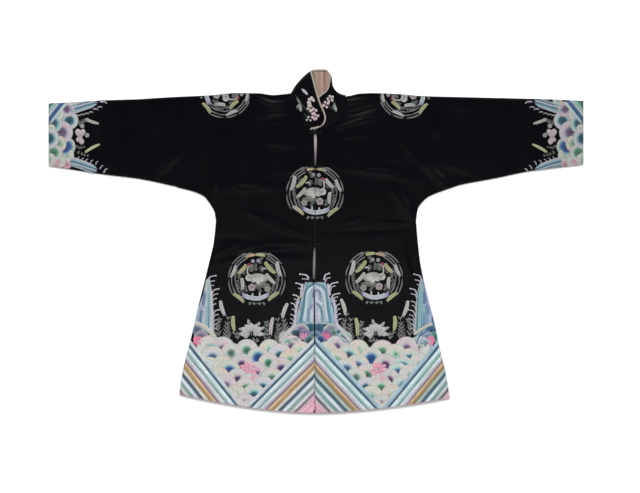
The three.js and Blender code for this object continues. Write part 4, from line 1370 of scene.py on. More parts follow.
# %% Stripes
WATER = [
    # upper and lower edge, square to the first deep line; colour on the left and the right half
    (-13.0, -3.4, (196, 203, 208), (158, 188, 200)),
    (-3.4, 3.4, (66, 98, 120), (66, 96, 122)),
    (3.4, 12.0, (212, 228, 230), (206, 226, 230)),
    (12.0, 14.8, (184, 206, 206), (182, 210, 210)),
    (14.8, 20.6, (140, 166, 164), (124, 166, 158)),
    (20.6, 28.2, (212, 217, 221), (210, 217, 224)),
    (28.2, 32.4, (188, 181, 195), (196, 191, 205)),
    (32.4, 37.2, (134, 112, 128), (142, 126, 138)),
    (37.2, 44.0, (216, 184, 148), (206, 176, 142)),
    (44.0, 51.4, (170, 142, 98), (150, 130, 90)),
    (51.4, 60.6, (206, 204, 196), (168, 182, 178)),
    (61.6, 68.6, (78, 98, 118), (72, 102, 122)),
    (68.6, 78.6, (207, 216, 222), (206, 219, 224)),
    (78.6, 86.4, (138, 162, 158), (124, 158, 154)),
    (86.4, 94.8, (206, 209, 213), (198, 203, 206)),
    (94.8, 101.6, (136, 120, 130), (108, 106, 112)),
    (101.6, 106.0, (220, 194, 202), (212, 194, 200)),
    (106.0, 118.0, (230, 180, 194), (226, 176, 192)),
    (118.0, 134.0, (230, 174, 190), (228, 170, 188)),
]
CHEVRON_X = -3
UNDER_START = 9         # the stripes begin this far behind their starting line
PAST_HEM = 18           # and run this far past the hem, where the cloth's edge cuts them
SHORTEST = 20
HEM_REACH = 384         # how far the cord along the hem runs from the opening
STRIPE_WIDTH = 0.985    # share of its room that a stripe fills
CHEVRONS = {
    # where the first deep line starts, its lean and fall, the spread of its stripes, and how far
    # the starts step outward with the slant of the side seam
    (-1, "centre"): (CHEVRON_X, -284.8, -1, 1.0, 1.0, 0.0),
    (1, "centre"): (CHEVRON_X, -284.6, 1, 1.065, 1.045, 0.0),
    (-1, "side"): (-353.1, -295.8, 1, 1.254, 1.01, 0.46),
    (1, "side"): (343.0, -295.6, -1, 1.21, 0.995, 0.46),
}


def stripe(start, direction, length, half, tint, seed):
    """A straight stripe. Floss was dyed by the skein, so its tint drifts as a slow sine."""
    t = np.linspace(0, 1, max(4, int(length / 9)))
    x, y = start[0] + direction[0] * length * t, start[1] + direction[1] * length * t
    grid = band_of_stitches(x, y, half, tint, crown=0.3, lift=1.05, across=6, ease=0.25)
    drift = 1.005 + 0.04 * np.sin(length * t / 15 + seed * 1.7)
    grid[..., 5:] *= drift[:, None, None]
    return grid


def water(side, place):
    """Half a chevron: a stripe at distance d from the first deep line crosses the line's own
    starting line d * root(1 + fall^2) lower, and all of them fall alike down to the hem."""
    x, y, lean, fall, spread, slant = CHEVRONS[side, place]
    run = math.hypot(1, fall)
    direction = (lean / run, -fall / run)
    shapes = []
    for number, (upper, lower, *tints) in enumerate(WATER):
        middle = (upper + lower) / 2 * spread
        low = y - middle * run
        back = UNDER_START + slant * middle
        start = (x - direction[0] * back, low - direction[1] * back)
        length = (low - HEM_Y + PAST_HEM) * run / fall + back
        half = (lower - upper) / 2 * spread * STRIPE_WIDTH
        if length > SHORTEST:
            shapes.append(
                stripe(start, direction, length, half, tints[side > 0], number * 1.3 + side))
    return shapes


def hem_line(side):
    """The couched pink cord along the hem."""
    x = CHEVRON_X + side * np.linspace(0, HEM_REACH, 70)
    y = hem_y(side, x) + 1.6
    return [band_of_stitches(x, y, 1.3, (196, 160, 172), crown=0.5, lift=1.3)]


print(len(water(-1, "centre")), "stripes in half a chevron")

# %% [markdown]
# Between the stripes the waves are scallops like fish scales. Each shows pale rings and, where the
# next row opens, a drop of strong colour at its centre. No two neighbours match, so they come from
# a chart with a place and a palette for each.

# %% Waves
CREAM, SHELL, PEARL = (205, 203, 192), (206, 198, 198), (200, 204, 204)
MINT = (178, 208, 194)
SEA_TINTS = {
    # the heart's share of the radius, then colours from the rim inward
    "mint": (0.34, CREAM, (206, 204, 190), (190, 204, 192), (150, 196, 170)),
    "green": (0.38, SHELL, CREAM, (180, 196, 184), (78, 134, 104)),
    "deep": (0.44, CREAM, (198, 202, 196), (136, 172, 182), (32, 78, 140)),
    "teal": (0.36, PEARL, (204, 198, 202), (164, 184, 192), (28, 84, 104)),
    "violet": (0.34, (200, 196, 198), (200, 196, 192), (168, 158, 172), (78, 50, 96)),
    "slate": (0.36, CREAM, PEARL, (146, 164, 182), (58, 86, 122)),
    "sea": (0.38, PEARL, (178, 206, 194), (112, 154, 164), (46, 78, 140)),
    "peach": (0.36, (208, 198, 184), CREAM, (208, 198, 178), (136, 178, 152)),
    "blush": (0.34, (206, 198, 200), (202, 188, 194), (188, 176, 186), (112, 92, 124)),
    "grey": (0.36, (200, 198, 192), CREAM, (172, 184, 176), (98, 126, 114)),
    "cyan": (0.38, CREAM, (194, 204, 198), (136, 184, 184), (48, 92, 112)),
    "plain": (0.34, CREAM, PEARL, (206, 202, 186), (180, 192, 180)),
}
WAVES = {
    -1: [
        # x, top, palette
        (-262, -266, "blush"), (-300, -262, "plain"), (-194, -273, "green"), (-130, -273, "mint"),
        (-68, -262, "blush"), (-238, -283, "grey"), (-162, -294, "deep"), (-101, -285, "teal"),
        (-42, -279, "mint"), (-290, -292, "slate"), (-208, -313, "violet"), (-133, -311, "green"),
        (-72, -299, "peach"), (-262, -318, "mint"), (-243, -331, "deep"), (-168, -336, "blush"),
        (-97, -323, "violet"), (-300, -322, "plain"), (-276, -349, "peach"), (-219, -354, "violet"),
        (-124, -352, "grey"), (-253, -372, "blush"), (-186, -366, "grey"), (-149, -376, "teal"),
        (-197, -380, "green"), (-225, -400, "peach"), (-174, -398, "cyan"), (-245, -408, "grey"),
        (-200, -424, "violet"), (-226, -436, "plain"), (-176, -434, "blush"), (-200, -450, "plain"),
    ],
    1: [
        (254, -266, "blush"), (290, -264, "plain"), (186, -275, "green"), (118, -274, "mint"),
        (58, -262, "blush"), (224, -286, "mint"), (155, -295, "deep"), (92, -287, "cyan"),
        (30, -279, "mint"), (262, -298, "cyan"), (290, -312, "plain"), (194, -313, "violet"),
        (116, -315, "slate"), (58, -299, "peach"), (244, -320, "sea"), (85, -325, "slate"),
        (144, -340, "green"), (230, -338, "sea"), (262, -344, "plain"), (112, -352, "grey"),
        (205, -356, "violet"), (246, -372, "cyan"), (140, -379, "teal"), (178, -368, "grey"),
        (183, -378, "green"), (156, -402, "mint"), (214, -400, "peach"), (236, -414, "grey"),
        (184, -426, "violet"), (160, -440, "plain"), (212, -438, "blush"), (184, -452, "plain"),
    ],
}
WAVE_RADIUS = 33.5


def waves(side):
    """The scallops of one side, from the top row down, so that lower ones lap over. Radius and
    turn differ a little from place to place: by remainders of x."""
    return [
        fan(x, top, WAVE_RADIUS + (x * 5) % 7 - 3, SEA_TINTS[palette], turn=(x * 7) % 23 - 11)
        for x, top, palette in sorted(WAVES[side], key=lambda row: -row[1])
    ]


print(len(WAVES[-1]), "waves on the left,", len(WAVES[1]), "on the right")

# %% [markdown]
# ## Motifs
#
# A few small motifs are made once and set many times: an ear of grain, a blossom, a leaf spray,
# froth at the edge of a rock. An ear is a padded core with slanting grains laid over it in pairs,
# because the real stitch changes direction at its middle line.

# %% Ear and blossom
WHITE, IVORY, WHEAT = (186, 186, 178), (208, 206, 196), (170, 172, 132)
DIM, LILAC, FOAM = (96, 99, 97), (166, 162, 192), (200, 197, 206)


def darker(tint, share):
    """A colour with a share of it taken away."""
    return tuple(c * (1 - share) for c in tint)


GRAIN_PAIRS = 7


def ear(start, end, wide, tint, other=None, bend=0.0):
    """A padded core, then pairs of grains that lean forward from the middle line."""
    other = tint if other is None else other
    shapes = [blade(start, end, wide * 0.92, darker(tint, 0.22), bend, "ear",
                    tip=darker(other, 0.22))]
    length = math.dist(start, end)
    along = np.subtract(end, start) / length
    left = np.array([-along[1], along[0]])
    for k in range(GRAIN_PAIRS):
        t = 0.02 + 0.84 * k / (GRAIN_PAIRS - 1)
        swell = 0.55 + 0.45 * math.sin(math.pi * min(1, t + 0.12)) ** 0.6
        root = np.add(start, along * length * t) + left * 4 * bend * t * (1 - t)
        for hand in (-1, 1):
            foot = root + left * hand * wide * 0.06
            tip = root + along * length * 0.17 + left * hand * wide * 0.33 * swell
            shade = mix(tint, other, t)
            shapes.append(blade(
                foot, tip, wide * 0.46 * swell, shade, profile="ear", rows=5, lift=0.35, crown=0.4))
    return shapes


def blossom(x, y, size, tint, core=(148, 138, 128), petals=5, turn=0.0, edge=None):
    """Broad petals round a small padded eye."""
    return [
        ray(x, y, 90 + turn + 360 * k / petals, size * 0.05, size * 0.5, size * 3.1 / petals, tint,
            profile="petal", rows=6, edge=edge, lift=0.1 + 0.03 * k)
        for k in range(petals)
    ] + [dot(x, y, size * 0.18, core, rows=5, lift=0.6, crown=0.4)]


# %% Spray, froth and filling
def spray(points, leaf, tint, pairs, wide, angle=38):
    """A stem with pairs of narrow leaves that point forward and get shorter toward its tip."""
    stem = through(points, 1.5, tint, rows=14)
    shapes = [stem]
    path = stem[:, stem.shape[1] // 2, :2]
    for k in range(pairs):
        at = int((len(path) - 2) * (k + 0.6) / pairs)
        run = path[at + 1] - path[at]
        heading = math.degrees(math.atan2(run[1], run[0]))
        size = leaf * (1 - 0.55 * k / pairs)
        for hand in (-1, 1):
            shapes.append(ray(*path[at], heading + hand * angle, 0, size, wide, tint,
                              bend=-hand * size * 0.07, rows=6, lift=0.15, crown=0.4))
    return shapes


def froth(size):
    """Foam with its tip at 0, 0: a horn that rises along the rock and bends over outward, with two
    shorter fingers below it and a round drop at each tip."""
    bow = [(-0.60 * size, -size), (-0.42 * size, -0.26 * size), (0, 0)]
    horn = through(bow, 0.26 * size, FOAM, rows=12, profile="horn", lift=0.5)
    shapes, path = [horn], horn[:, horn.shape[1] // 2, :2]
    for share, reach in ((0.30, 0.30), (0.55, 0.34)):
        start = path[int(share * len(path))]
        stop = start + np.array([reach, 0.14]) * size
        bow = [start, (start + stop) / 2 - [0, 0.04 * size], stop]
        shapes.append(through(bow, 0.19 * size, FOAM, rows=7, profile="horn", lift=0.55))
    return shapes + [dot(0, 0, 0.22 * size, IVORY, rows=6, lift=0.6),
                     dot(*stop, 0.17 * size, IVORY, rows=6, lift=0.6)]


def filling(left, right, tints, rows):
    """Long floss between two curves that run upward, shaded across through several tints: each
    tint is a ridge of three points."""
    t = np.linspace(0, 1, rows)

    def edge(points):
        path = stations(np.array(points, float), 8)
        along = np.linspace(0, 1, len(path))
        return np.stack([np.interp(t, along, path[:, k]) for k in (0, 1)], axis=-1)

    a, b = edge(left), edge(right)
    tints = np.array(tints, float)
    c = np.linspace(0, 1, 3 * len(tints))
    grid = np.empty((rows, len(c), 8))
    grid[..., :2] = a[:, None] + (b - a)[:, None] * c[None, :, None]
    grid[..., 2] = 0.2 + 0.25 * np.tile([0.3, 1, 0.3], len(tints))
    grid[:, [0, -1], 2] = SINK
    grid[..., 3] = t[:, None] * np.hypot(*(a[-1] - a[0]))
    grid[..., 4] = grid[..., 0]
    grid[..., 5:] = np.repeat(tints, 3, axis=0)[None]
    return grid


print("an ear of grain has", len(ear((0, 0), (0, 9), 3, WHEAT)), "bands")

# %% [markdown]
# ## Rocks in the water
#
# Under the opening stands the traditional rock: upright bands of floss inside arched outlines, with
# foam at both sides. Its half at each side seam is the same idea without an arch.

# %% Foam and lines
def hooks(rows):
    """Foam: horns that climb from the rock and bend over level, with a round drop at each tip."""
    shapes = []
    for x, y, end_x, end_y, wide in rows:
        bow = [(x, y), (x + 0.32 * (end_x - x), y + 0.78 * (end_y - y)), (end_x, end_y)]
        out = math.copysign(wide, end_x - x)
        shapes.append(through(bow, wide, (190, 189, 198), rows=12, profile="horn", lift=0.5))
        shapes.append(blade((end_x - 0.3 * out, end_y), (end_x + 0.6 * out, end_y + 0.1 * wide),
                            0.9 * wide, (206, 205, 206), profile="ear", rows=6, lift=0.6))
    return shapes


def lines(rows, lift=0.5):
    """Bands along smooth curves: points, width, colour and sometimes the colour at the end."""
    return [
        through(points, wide, tint, *tip, rows=10 * (len(points) - 1), lift=lift)
        for points, wide, tint, *tip in rows]


def deep_water(rows, core):
    """Small scallops with dark hearts: x, top, radius and three colours from the rim inward."""
    return [fan(x, top, radius, (0.42, *tints), core=core) for x, top, radius, *tints in rows]


# %% Centre rock
CENTRE_LINES = [
    ([(-34, -226), (-29, -190), (-22.8, -142), (-4, -125)], 8, (190, 208, 216)),
    ([(33, -226), (27, -190), (21, -144), (-3, -125)], 8, (192, 202, 212)),
    ([(-44, -228), (-39.5, -202), (-33.9, -175.5), (-28.4, -136), (-4, -116.6)], 6, (78, 120, 130)),
    ([(41.4, -228), (34.8, -191), (30.3, -158), (25.9, -131), (-4, -116.6)], 6, (84, 130, 142)),
    ([(-9, -158), (-7, -145), (1.5, -136), (10, -142), (13, -160)], 6.5, (124, 132, 154)),
    ([(0, -172), (12, -184), (17, -202), (19.3, -227)], 6, (106, 130, 144)),
    ([(-23, -227), (-22, -205), (-20, -190), (-9.5, -176)], 6, (112, 138, 172), (134, 114, 164)),
    ([(-1, -156), (5, -168), (19, -178)], 7.0, (204, 202, 216)),
    ([(-5, -230), (-5, -218), (-5, -204)], 3.5, (118, 96, 138)),
]
CENTRE_STRIPS = [
    # foot, top, width and colour of short upright leaves
    ((-12, -229), (-12, -188), 9, (196, 200, 212)), ((8, -229), (8, -188), 10, (192, 202, 212)),
    ((-43, -179), (-43, -165), 8, (108, 146, 176)), ((-45, -192), (-45, -181), 6, (156, 128, 114)),
    ((-46, -214), (-45, -197), 7, (120, 184, 176)), ((-50, -231), (-48, -213), 7, (108, 156, 186)),
    ((42, -181), (41, -163), 8, (116, 160, 182)), ((45, -207), (43.5, -181), 8, (146, 194, 214)),
    ((47, -231), (46, -205), 8, (128, 174, 198)), ((-45, -160), (-42, -149), 6, (206, 200, 150)),
]
CENTRE_HOOKS = [
    # root, tip, width
    (-20, -104, -44, -92, 6), (-20, -108, -37, -105, 4), (-37, -135, -55, -117, 5.5),
    (-40, -144, -48, -131, 4), (-47, -166, -62.5, -150, 5.5), (-48, -174, -59, -162, 4.5),
    (-52, -181, -57, -171, 3.5), (-57, -188, -68, -173.5, 5), (-58, -201, -66, -190, 4),
    (-60, -217, -69, -205, 4), (-62, -229, -70, -217, 4), (-63, -240, -71, -229, 3.5),
    (22, -109, 36, -90, 6), (26, -114, 38, -102, 4.5), (37, -132, 59, -115, 5.5),
    (40, -141, 52, -125, 4), (42, -163, 64.7, -146, 5.5), (44, -172, 59, -156, 4.5),
    (48, -180, 56, -166, 4), (56, -189, 65, -176, 4.5), (57, -201, 66, -189, 4),
    (58, -215, 67, -203, 4), (60, -229, 69, -217, 4),
]


def centre_rock():
    """The whole rock: a filled body, arched outlines with short leaves between them, and foam."""
    shapes = [filling(
        [(-56, -232), (-52, -196), (-42, -160), (-31, -113.8)],
        [(54, -232), (50, -196), (40, -160), (27, -113.8)],
        [(176, 178, 190), (110, 146, 168), (118, 152, 162), (158, 180, 190), (142, 170, 180),
         (168, 176, 194), (174, 176, 192), (166, 174, 192), (150, 172, 186), (158, 178, 182),
         (118, 154, 166), (118, 160, 180), (176, 178, 190)], rows=20)]
    for foam in ([(-37, -118), (-40, -134), (-42, -152)], [(33, -118), (36, -134), (39, -152)],
                 [(-50, -162), (-55, -188), (-59, -236)], [(49, -160), (53, -188), (57, -236)]):
        shapes.append(through(foam, 8, (190, 190, 200), rows=14, lift=0.4, edge=(170, 172, 186)))
    shapes += lines(CENTRE_LINES) + [blade(*row, lift=0.55) for row in CENTRE_STRIPS]
    return shapes + hooks(CENTRE_HOOKS)


print("centre rock:", len(centre_rock()), "shapes")


# %% Foot of the centre rock
FOOT_FANS = [
    # x, top, radius, colours from the rim inward
    (-84, -250, 22, (200, 198, 192), (172, 184, 176), (98, 126, 114)),
    (80, -250, 22, CREAM, (130, 184, 184), (48, 92, 112)),
    (-66, -240, 20, (206, 198, 200), (184, 172, 184), (112, 92, 124)),
    (66, -240, 20, PEARL, (112, 154, 164), (46, 78, 140)),
    (-41, -229, 23, (200, 206, 200), (160, 150, 174), (124, 108, 148)),
    (42, -229, 23, (200, 206, 200), (150, 140, 174), (120, 136, 130)),
    (-15, -229, 15, (66, 116, 130), (48, 104, 120), (40, 92, 110)),
    (9, -229, 15, (74, 116, 138), (54, 100, 124), (44, 90, 120)),
    (-32, -244, 17, (156, 142, 172), (140, 122, 160), (90, 90, 130)),
    (31, -244, 17, (156, 146, 178), (134, 122, 162), (84, 96, 130)),
    (-2, -249, 20, (130, 162, 178), (104, 138, 152), (66, 98, 116)),
    (-54, -246, 16, (92, 124, 134), (46, 80, 92), (36, 66, 80)),
    (48, -246, 14, (140, 166, 152), (112, 142, 130), (84, 112, 104)),
    (54, -260, 19, (110, 146, 138), (60, 106, 104), (44, 88, 90)),
    (-17, -263, 17, (128, 152, 160), (72, 108, 116), (44, 70, 80)),
    (12, -262, 17, (128, 152, 176), (52, 80, 136), (30, 54, 110)),
    (-54, -268, 18, (140, 178, 162), (104, 156, 132), (60, 120, 100)),
    (-76, -272, 17, MINT, (100, 176, 140), (66, 132, 104)),
]


def rock_foot():
    """What the centre rock stands in: scallops of deep water, blooms and leaves."""
    shapes = deep_water(FOOT_FANS, 1.25) + lines([
        ([(-56, -230), (-72, -250), (-104, -283)], 12, (206, 203, 208)),
        ([(55, -230), (72, -250), (98, -283)], 12, (200, 206, 210)),
        ([(58, -258), (70, -270), (84, -284)], 6, (120, 184, 186))], lift=0.9)
    shapes += blossom(-35, -264, 25, (226, 150, 186), core=(244, 200, 216), petals=6)
    shapes += blossom(28, -264, 25, (230, 112, 158), core=(244, 180, 200), petals=6, turn=20)
    # painted shade: the rock's foot is darkened a little
    return painted_shade_copies(shapes, 0.92)


# %% Side rocks
SIDE_BODY = {
    # curves up its left and its right side, colours from left to right
    -1: ([(-350, -250), (-332, -190), (-318, -150), (-305, -104)],
         [(-287, -258), (-287, -205), (-289, -160), (-298, -104)],
         [(178, 192, 202), (150, 166, 190), (120, 142, 172), (186, 192, 206), (166, 192, 198),
          (152, 184, 190), (150, 182, 190), (196, 200, 204), (204, 202, 206)]),
    1: ([(273, -258), (278, -205), (283, -150), (293, -106)],
        [(346, -250), (330, -190), (318, -150), (303, -104)],
        [(188, 196, 202), (108, 156, 136), (150, 184, 190), (100, 150, 168), (128, 176, 182),
         (146, 186, 192), (122, 158, 184), (110, 128, 172), (164, 178, 204), (140, 172, 192),
         (112, 156, 170)]),
}
SIDE_LINES = {
    -1: [([(-301.5, -246), (-301, -200), (-301, -140)], 5.2, (78, 134, 158), (146, 186, 184)),
         ([(-294, -256), (-293, -200), (-295, -136)], 7, (202, 202, 206)),
         ([(-317, -176), (-316, -160), (-314, -144)], 7, (108, 126, 160)),
         ([(-325, -178), (-318, -188), (-315, -202)], 5.5, (196, 194, 212)),
         ([(-324, -234), (-323, -214), (-321, -192)], 7, (92, 128, 164)),
         ([(-314, -240), (-314, -220), (-313, -202)], 7, (196, 196, 208)),
         ([(-310, -142), (-306, -126), (-303, -106)], 13, (186, 200, 196))],
    1: [([(283, -248), (284.6, -200), (286, -138)], 3.4, (84, 132, 154)),
        ([(293, -240), (294, -200), (295, -134)], 3.0, (160, 196, 200)),
        ([(294, -196), (302, -184), (314, -172), (328, -163)], 3.6, (174, 192, 216)),
        ([(301, -209), (310, -194), (318, -186), (332, -180)], 3.6, (112, 162, 160)),
        ([(303, -174), (303, -160), (302, -142)], 6, (98, 116, 168)),
        ([(303, -240), (303, -222), (304, -208)], 5, (100, 120, 168)),
        ([(319, -238), (319, -222), (320, -204)], 13, (172, 188, 210)),
        ([(309, -236), (310, -214), (318, -200), (336, -198)], 3.4, (140, 152, 196)),
        ([(330, -236), (329, -222), (328, -206)], 11, (60, 98, 140))],
}
SIDE_HOOKS = {
    # root, tip, width
    -1: [(-306, -117, -282, -96, 5.5), (-304, -127, -286.5, -110.5, 4.5),
         (-302, -137, -289, -123, 4), (-293, -151, -273.5, -133, 5.5),
         (-293, -163, -277, -147, 4.5), (-292, -175, -280.5, -160, 4.5),
         (-291, -189, -282.5, -175, 4.5), (-289, -209, -272.5, -192, 5.5),
         (-289, -221, -276, -205, 4.5), (-288, -233, -278, -219, 4), (-288, -244, -277, -230, 4),
         (-288, -255, -279, -243, 4)],
    1: [(299, -117, 275.5, -92, 5.5), (296, -127, 279.5, -108, 4.5), (295, -136, 285, -121, 4),
        (284, -151, 265, -132.5, 5.5), (284, -163, 268.5, -147, 4.5), (282, -182, 268.5, -168, 4.5),
        (280, -193, 271, -180, 4), (278, -209, 261, -192, 5), (276, -221, 263, -206, 4),
        (276, -233, 264, -218, 4), (276, -245, 265, -230, 4), (276, -257, 266, -243, 4)],
}
SIDE_FOOT = {
    -1: [(-322, -248, 22, (170, 160, 172), (150, 140, 156), (110, 104, 132)),
         (-334, -236, 14, (120, 132, 148), (104, 116, 134), (86, 98, 120)),
         (-308, -264, 17, (140, 176, 184), (76, 118, 138), (60, 100, 124)),
         (-292, -284, 18, (206, 204, 196), (130, 188, 184), (96, 168, 168))],
    1: [(296, -262, 22, (150, 178, 196), (84, 116, 150), (60, 92, 132)),
        (310, -250, 22, (176, 178, 204), (140, 164, 186), (110, 140, 170)),
        (323, -236, 17, (70, 112, 148), (52, 98, 140), (46, 88, 128)),
        (331, -252, 17, (96, 160, 146), (70, 146, 126), (56, 124, 110)),
        (306, -272, 22, (196, 204, 208), (110, 152, 178), (66, 110, 150))],
}
SIDE_SHORE = {
    -1: [([(-352, -224), (-334, -230), (-314, -239), (-297, -253), (-278, -276)], 15,
          (206, 204, 194))],
    1: [([(274, -262), (290, -250), (306, -240), (329, -230)], 9, (206, 200, 188)),
        ([(282, -288), (288, -270), (300, -257), (316, -250)], 6, (84, 116, 156)),
        ([(292, -288), (297, -273), (308, -262), (322, -257)], 5, (152, 156, 192)),
        ([(278, -280), (282, -268), (292, -257)], 6, (150, 184, 196))],
}


# %% Half rocks
def side_rock(side):
    """Half a rock at a side seam: a filled body, its lines and leaves, foam, and its foot."""
    shapes = [filling(*SIDE_BODY[side], rows=18)] + lines(SIDE_LINES[side], lift=0.45)
    shapes += hooks(SIDE_HOOKS[side]) + deep_water(SIDE_FOOT[side], 1.2)
    shapes += lines(SIDE_SHORE[side], lift=0.9)
    pink = (-331, -278) if side < 0 else (320, -277)
    # painted shade: the half rock is darkened a little, its pink blossom is not
    return painted_shade_copies(shapes, 0.93) + blossom(
        *pink, 30, (228, 122, 158), core=(240, 176, 196), petals=7, turn=10)


print("side rocks:", [len(side_rock(side)) for side in (-1, 1)], "shapes")


# %% [markdown]
# ## Roundels
#
# Five roundels with the same drawing: a crane over a wave, with blossoms, inside a ring of grain
# ears. The crane stands toward the right and looks back over its wing. Mirrored and turned copies
# sit at both sides, and on each shoulder one lies across the fold, half on the front and half on
# the back.

# %% Ears of the ring
CHEST_EARS = [
    # start, end, width, colour, colour at the tip, bend
    ((-24, 68), (3, 71), 9.9, (198, 176, 146), (206, 190, 164), 1.5),
    ((32, 65), (5, 70), 9.4, (158, 162, 130), (200, 168, 146), -1.5),
    ((-56, 52), (-69, 12), 12.4, (186, 186, 182), (186, 186, 182), 3.0),
    ((58, 41), (74, 8), 10.6, (186, 186, 182), (184, 184, 180), -2.0),
    ((-22, 51), (-53, 20), 13.0, (166, 170, 122), (172, 174, 134), 3.5),
    ((29, 43), (53, 19), 12.4, (190, 190, 184), (188, 188, 182), -2.5),
    ((-25, 18), (-51, -9), 11.8, (176, 176, 164), (192, 192, 186), 2.0),
    ((42, 6), (41, -27), 11.8, (192, 192, 186), (176, 178, 168), -1.5),
    ((-62, -34), (-33, -58), 11.8, (192, 188, 170), (196, 178, 138), 2.5),
    ((66, -38), (37, -63), 11.8, (168, 172, 138), (176, 180, 142), -2.5),
]
LOWER_EARS = [
    row[:3] + colours + row[5:]
    for row, colours in zip(CHEST_EARS, [
        ((174, 178, 126), (184, 184, 144)), ((178, 150, 118), (204, 178, 150)),
        ((188, 188, 184), (188, 188, 184)), ((186, 186, 182), (188, 188, 184)),
        ((170, 172, 122), (176, 178, 134)), ((172, 174, 126), (180, 180, 142)),
        ((180, 180, 170), (192, 192, 186)), ((190, 190, 184), (176, 178, 168)),
        ((168, 172, 126), (178, 180, 138)), ((172, 174, 128), (184, 182, 144))])
]
SHOULDER_EARS = [
    row[:3] + ((192, 192, 188), (190, 190, 186)) + row[5:] if k < 2 else row
    for k, row in enumerate(LOWER_EARS)
]
EAR_FULLNESS = 1.18
print(len(CHEST_EARS), "ears in a ring")


# %% The crane
def crane():
    """Body, folded wing, tail, breast, neck, head with its red crown, and legs."""
    shapes = [blade((-38, -17), (4, -10), 15, (104, 104, 100), -2, "ear", rows=10)]
    for k in range(7):
        shapes.append(blade((-8 + 2 * k, -7 - k * 0.4), (-39 + 6 * k, -12 - 2.0 * k), 4.8,
                            (132, 132, 126), bend=1.0, rows=7, lift=0.3, tip=(100, 100, 96)))
    shapes.append(blade((-31, 0), (20, 6), 30, (150, 150, 145), 2, "ear", rows=12, lift=0.3,
                        crown=0.6))
    for k in range(9):
        c, s = cos_sin(172 + 8.4 * k)
        reach = 40 - 2.1 * abs(k - 2) - 0.25 * k * k
        shapes.append(blade((11, 7), (11 + reach * c, 8 + reach * s), 6.6, (196, 196, 190),
                            bend=2.2, profile="petal", rows=9, lift=0.55 + 0.05 * k,
                            tip=(206, 206, 201), edge=(134, 134, 128)))
    for row, (x, y) in enumerate(((-14, 16), (-8, 14), (-3, 11.5), (2, 9), (6, 6), (9, 2))):
        shapes.append(blade((x + 13, y + 0.5), (x - 4, y - 3 - row), 6.4, (188, 188, 182), bend=1.4,
                            profile="petal", rows=7, lift=1.0, edge=(140, 140, 134)))
    shapes += [
        blade((8, -8), (9, 8), 5.2, (204, 204, 198), profile="ear", lift=1.4),
        blade((13, -7), (14, 8), 4.0, (188, 188, 182), profile="ear", lift=1.3),
        blade((-12, -12), (1, -5), 5.6, (216, 216, 212), -1.5, profile="petal", lift=1.3)]
    breast = fan(22, 16.5, 10, (0.3, (200, 200, 194), (190, 190, 184), (176, 176, 170)), rise=0.4)
    breast[..., 2] += 0.6
    neck = [(23, 12), (26, 20), (26, 30), (24, 38)]
    return shapes + [
        breast,
        arc(22, 7, 4.8, 200, 20, 1.7, (84, 88, 88), lift=1.3),
        through(neck, 4.8, (192, 190, 186), rows=10, lift=0.8),
        blade((18, 38), (27, 41), 6.2, (184, 174, 174), profile="ear", rows=6, lift=0.9),
        blade((16, 43.5), (28, 41.5), 9.5, (132, 44, 62), profile="ear", rows=7, lift=1.1),
        blade((18, 40), (8, 43), 4.2, (176, 172, 168), profile="taper", rows=6, lift=0.9),
    ] + [through([(x, -10), (x - 2, -17), (x + 3, -24)], 1.6, DIM, rows=8, lift=0.3) for x in (1, 7)]


print("crane:", len(crane()), "shapes")


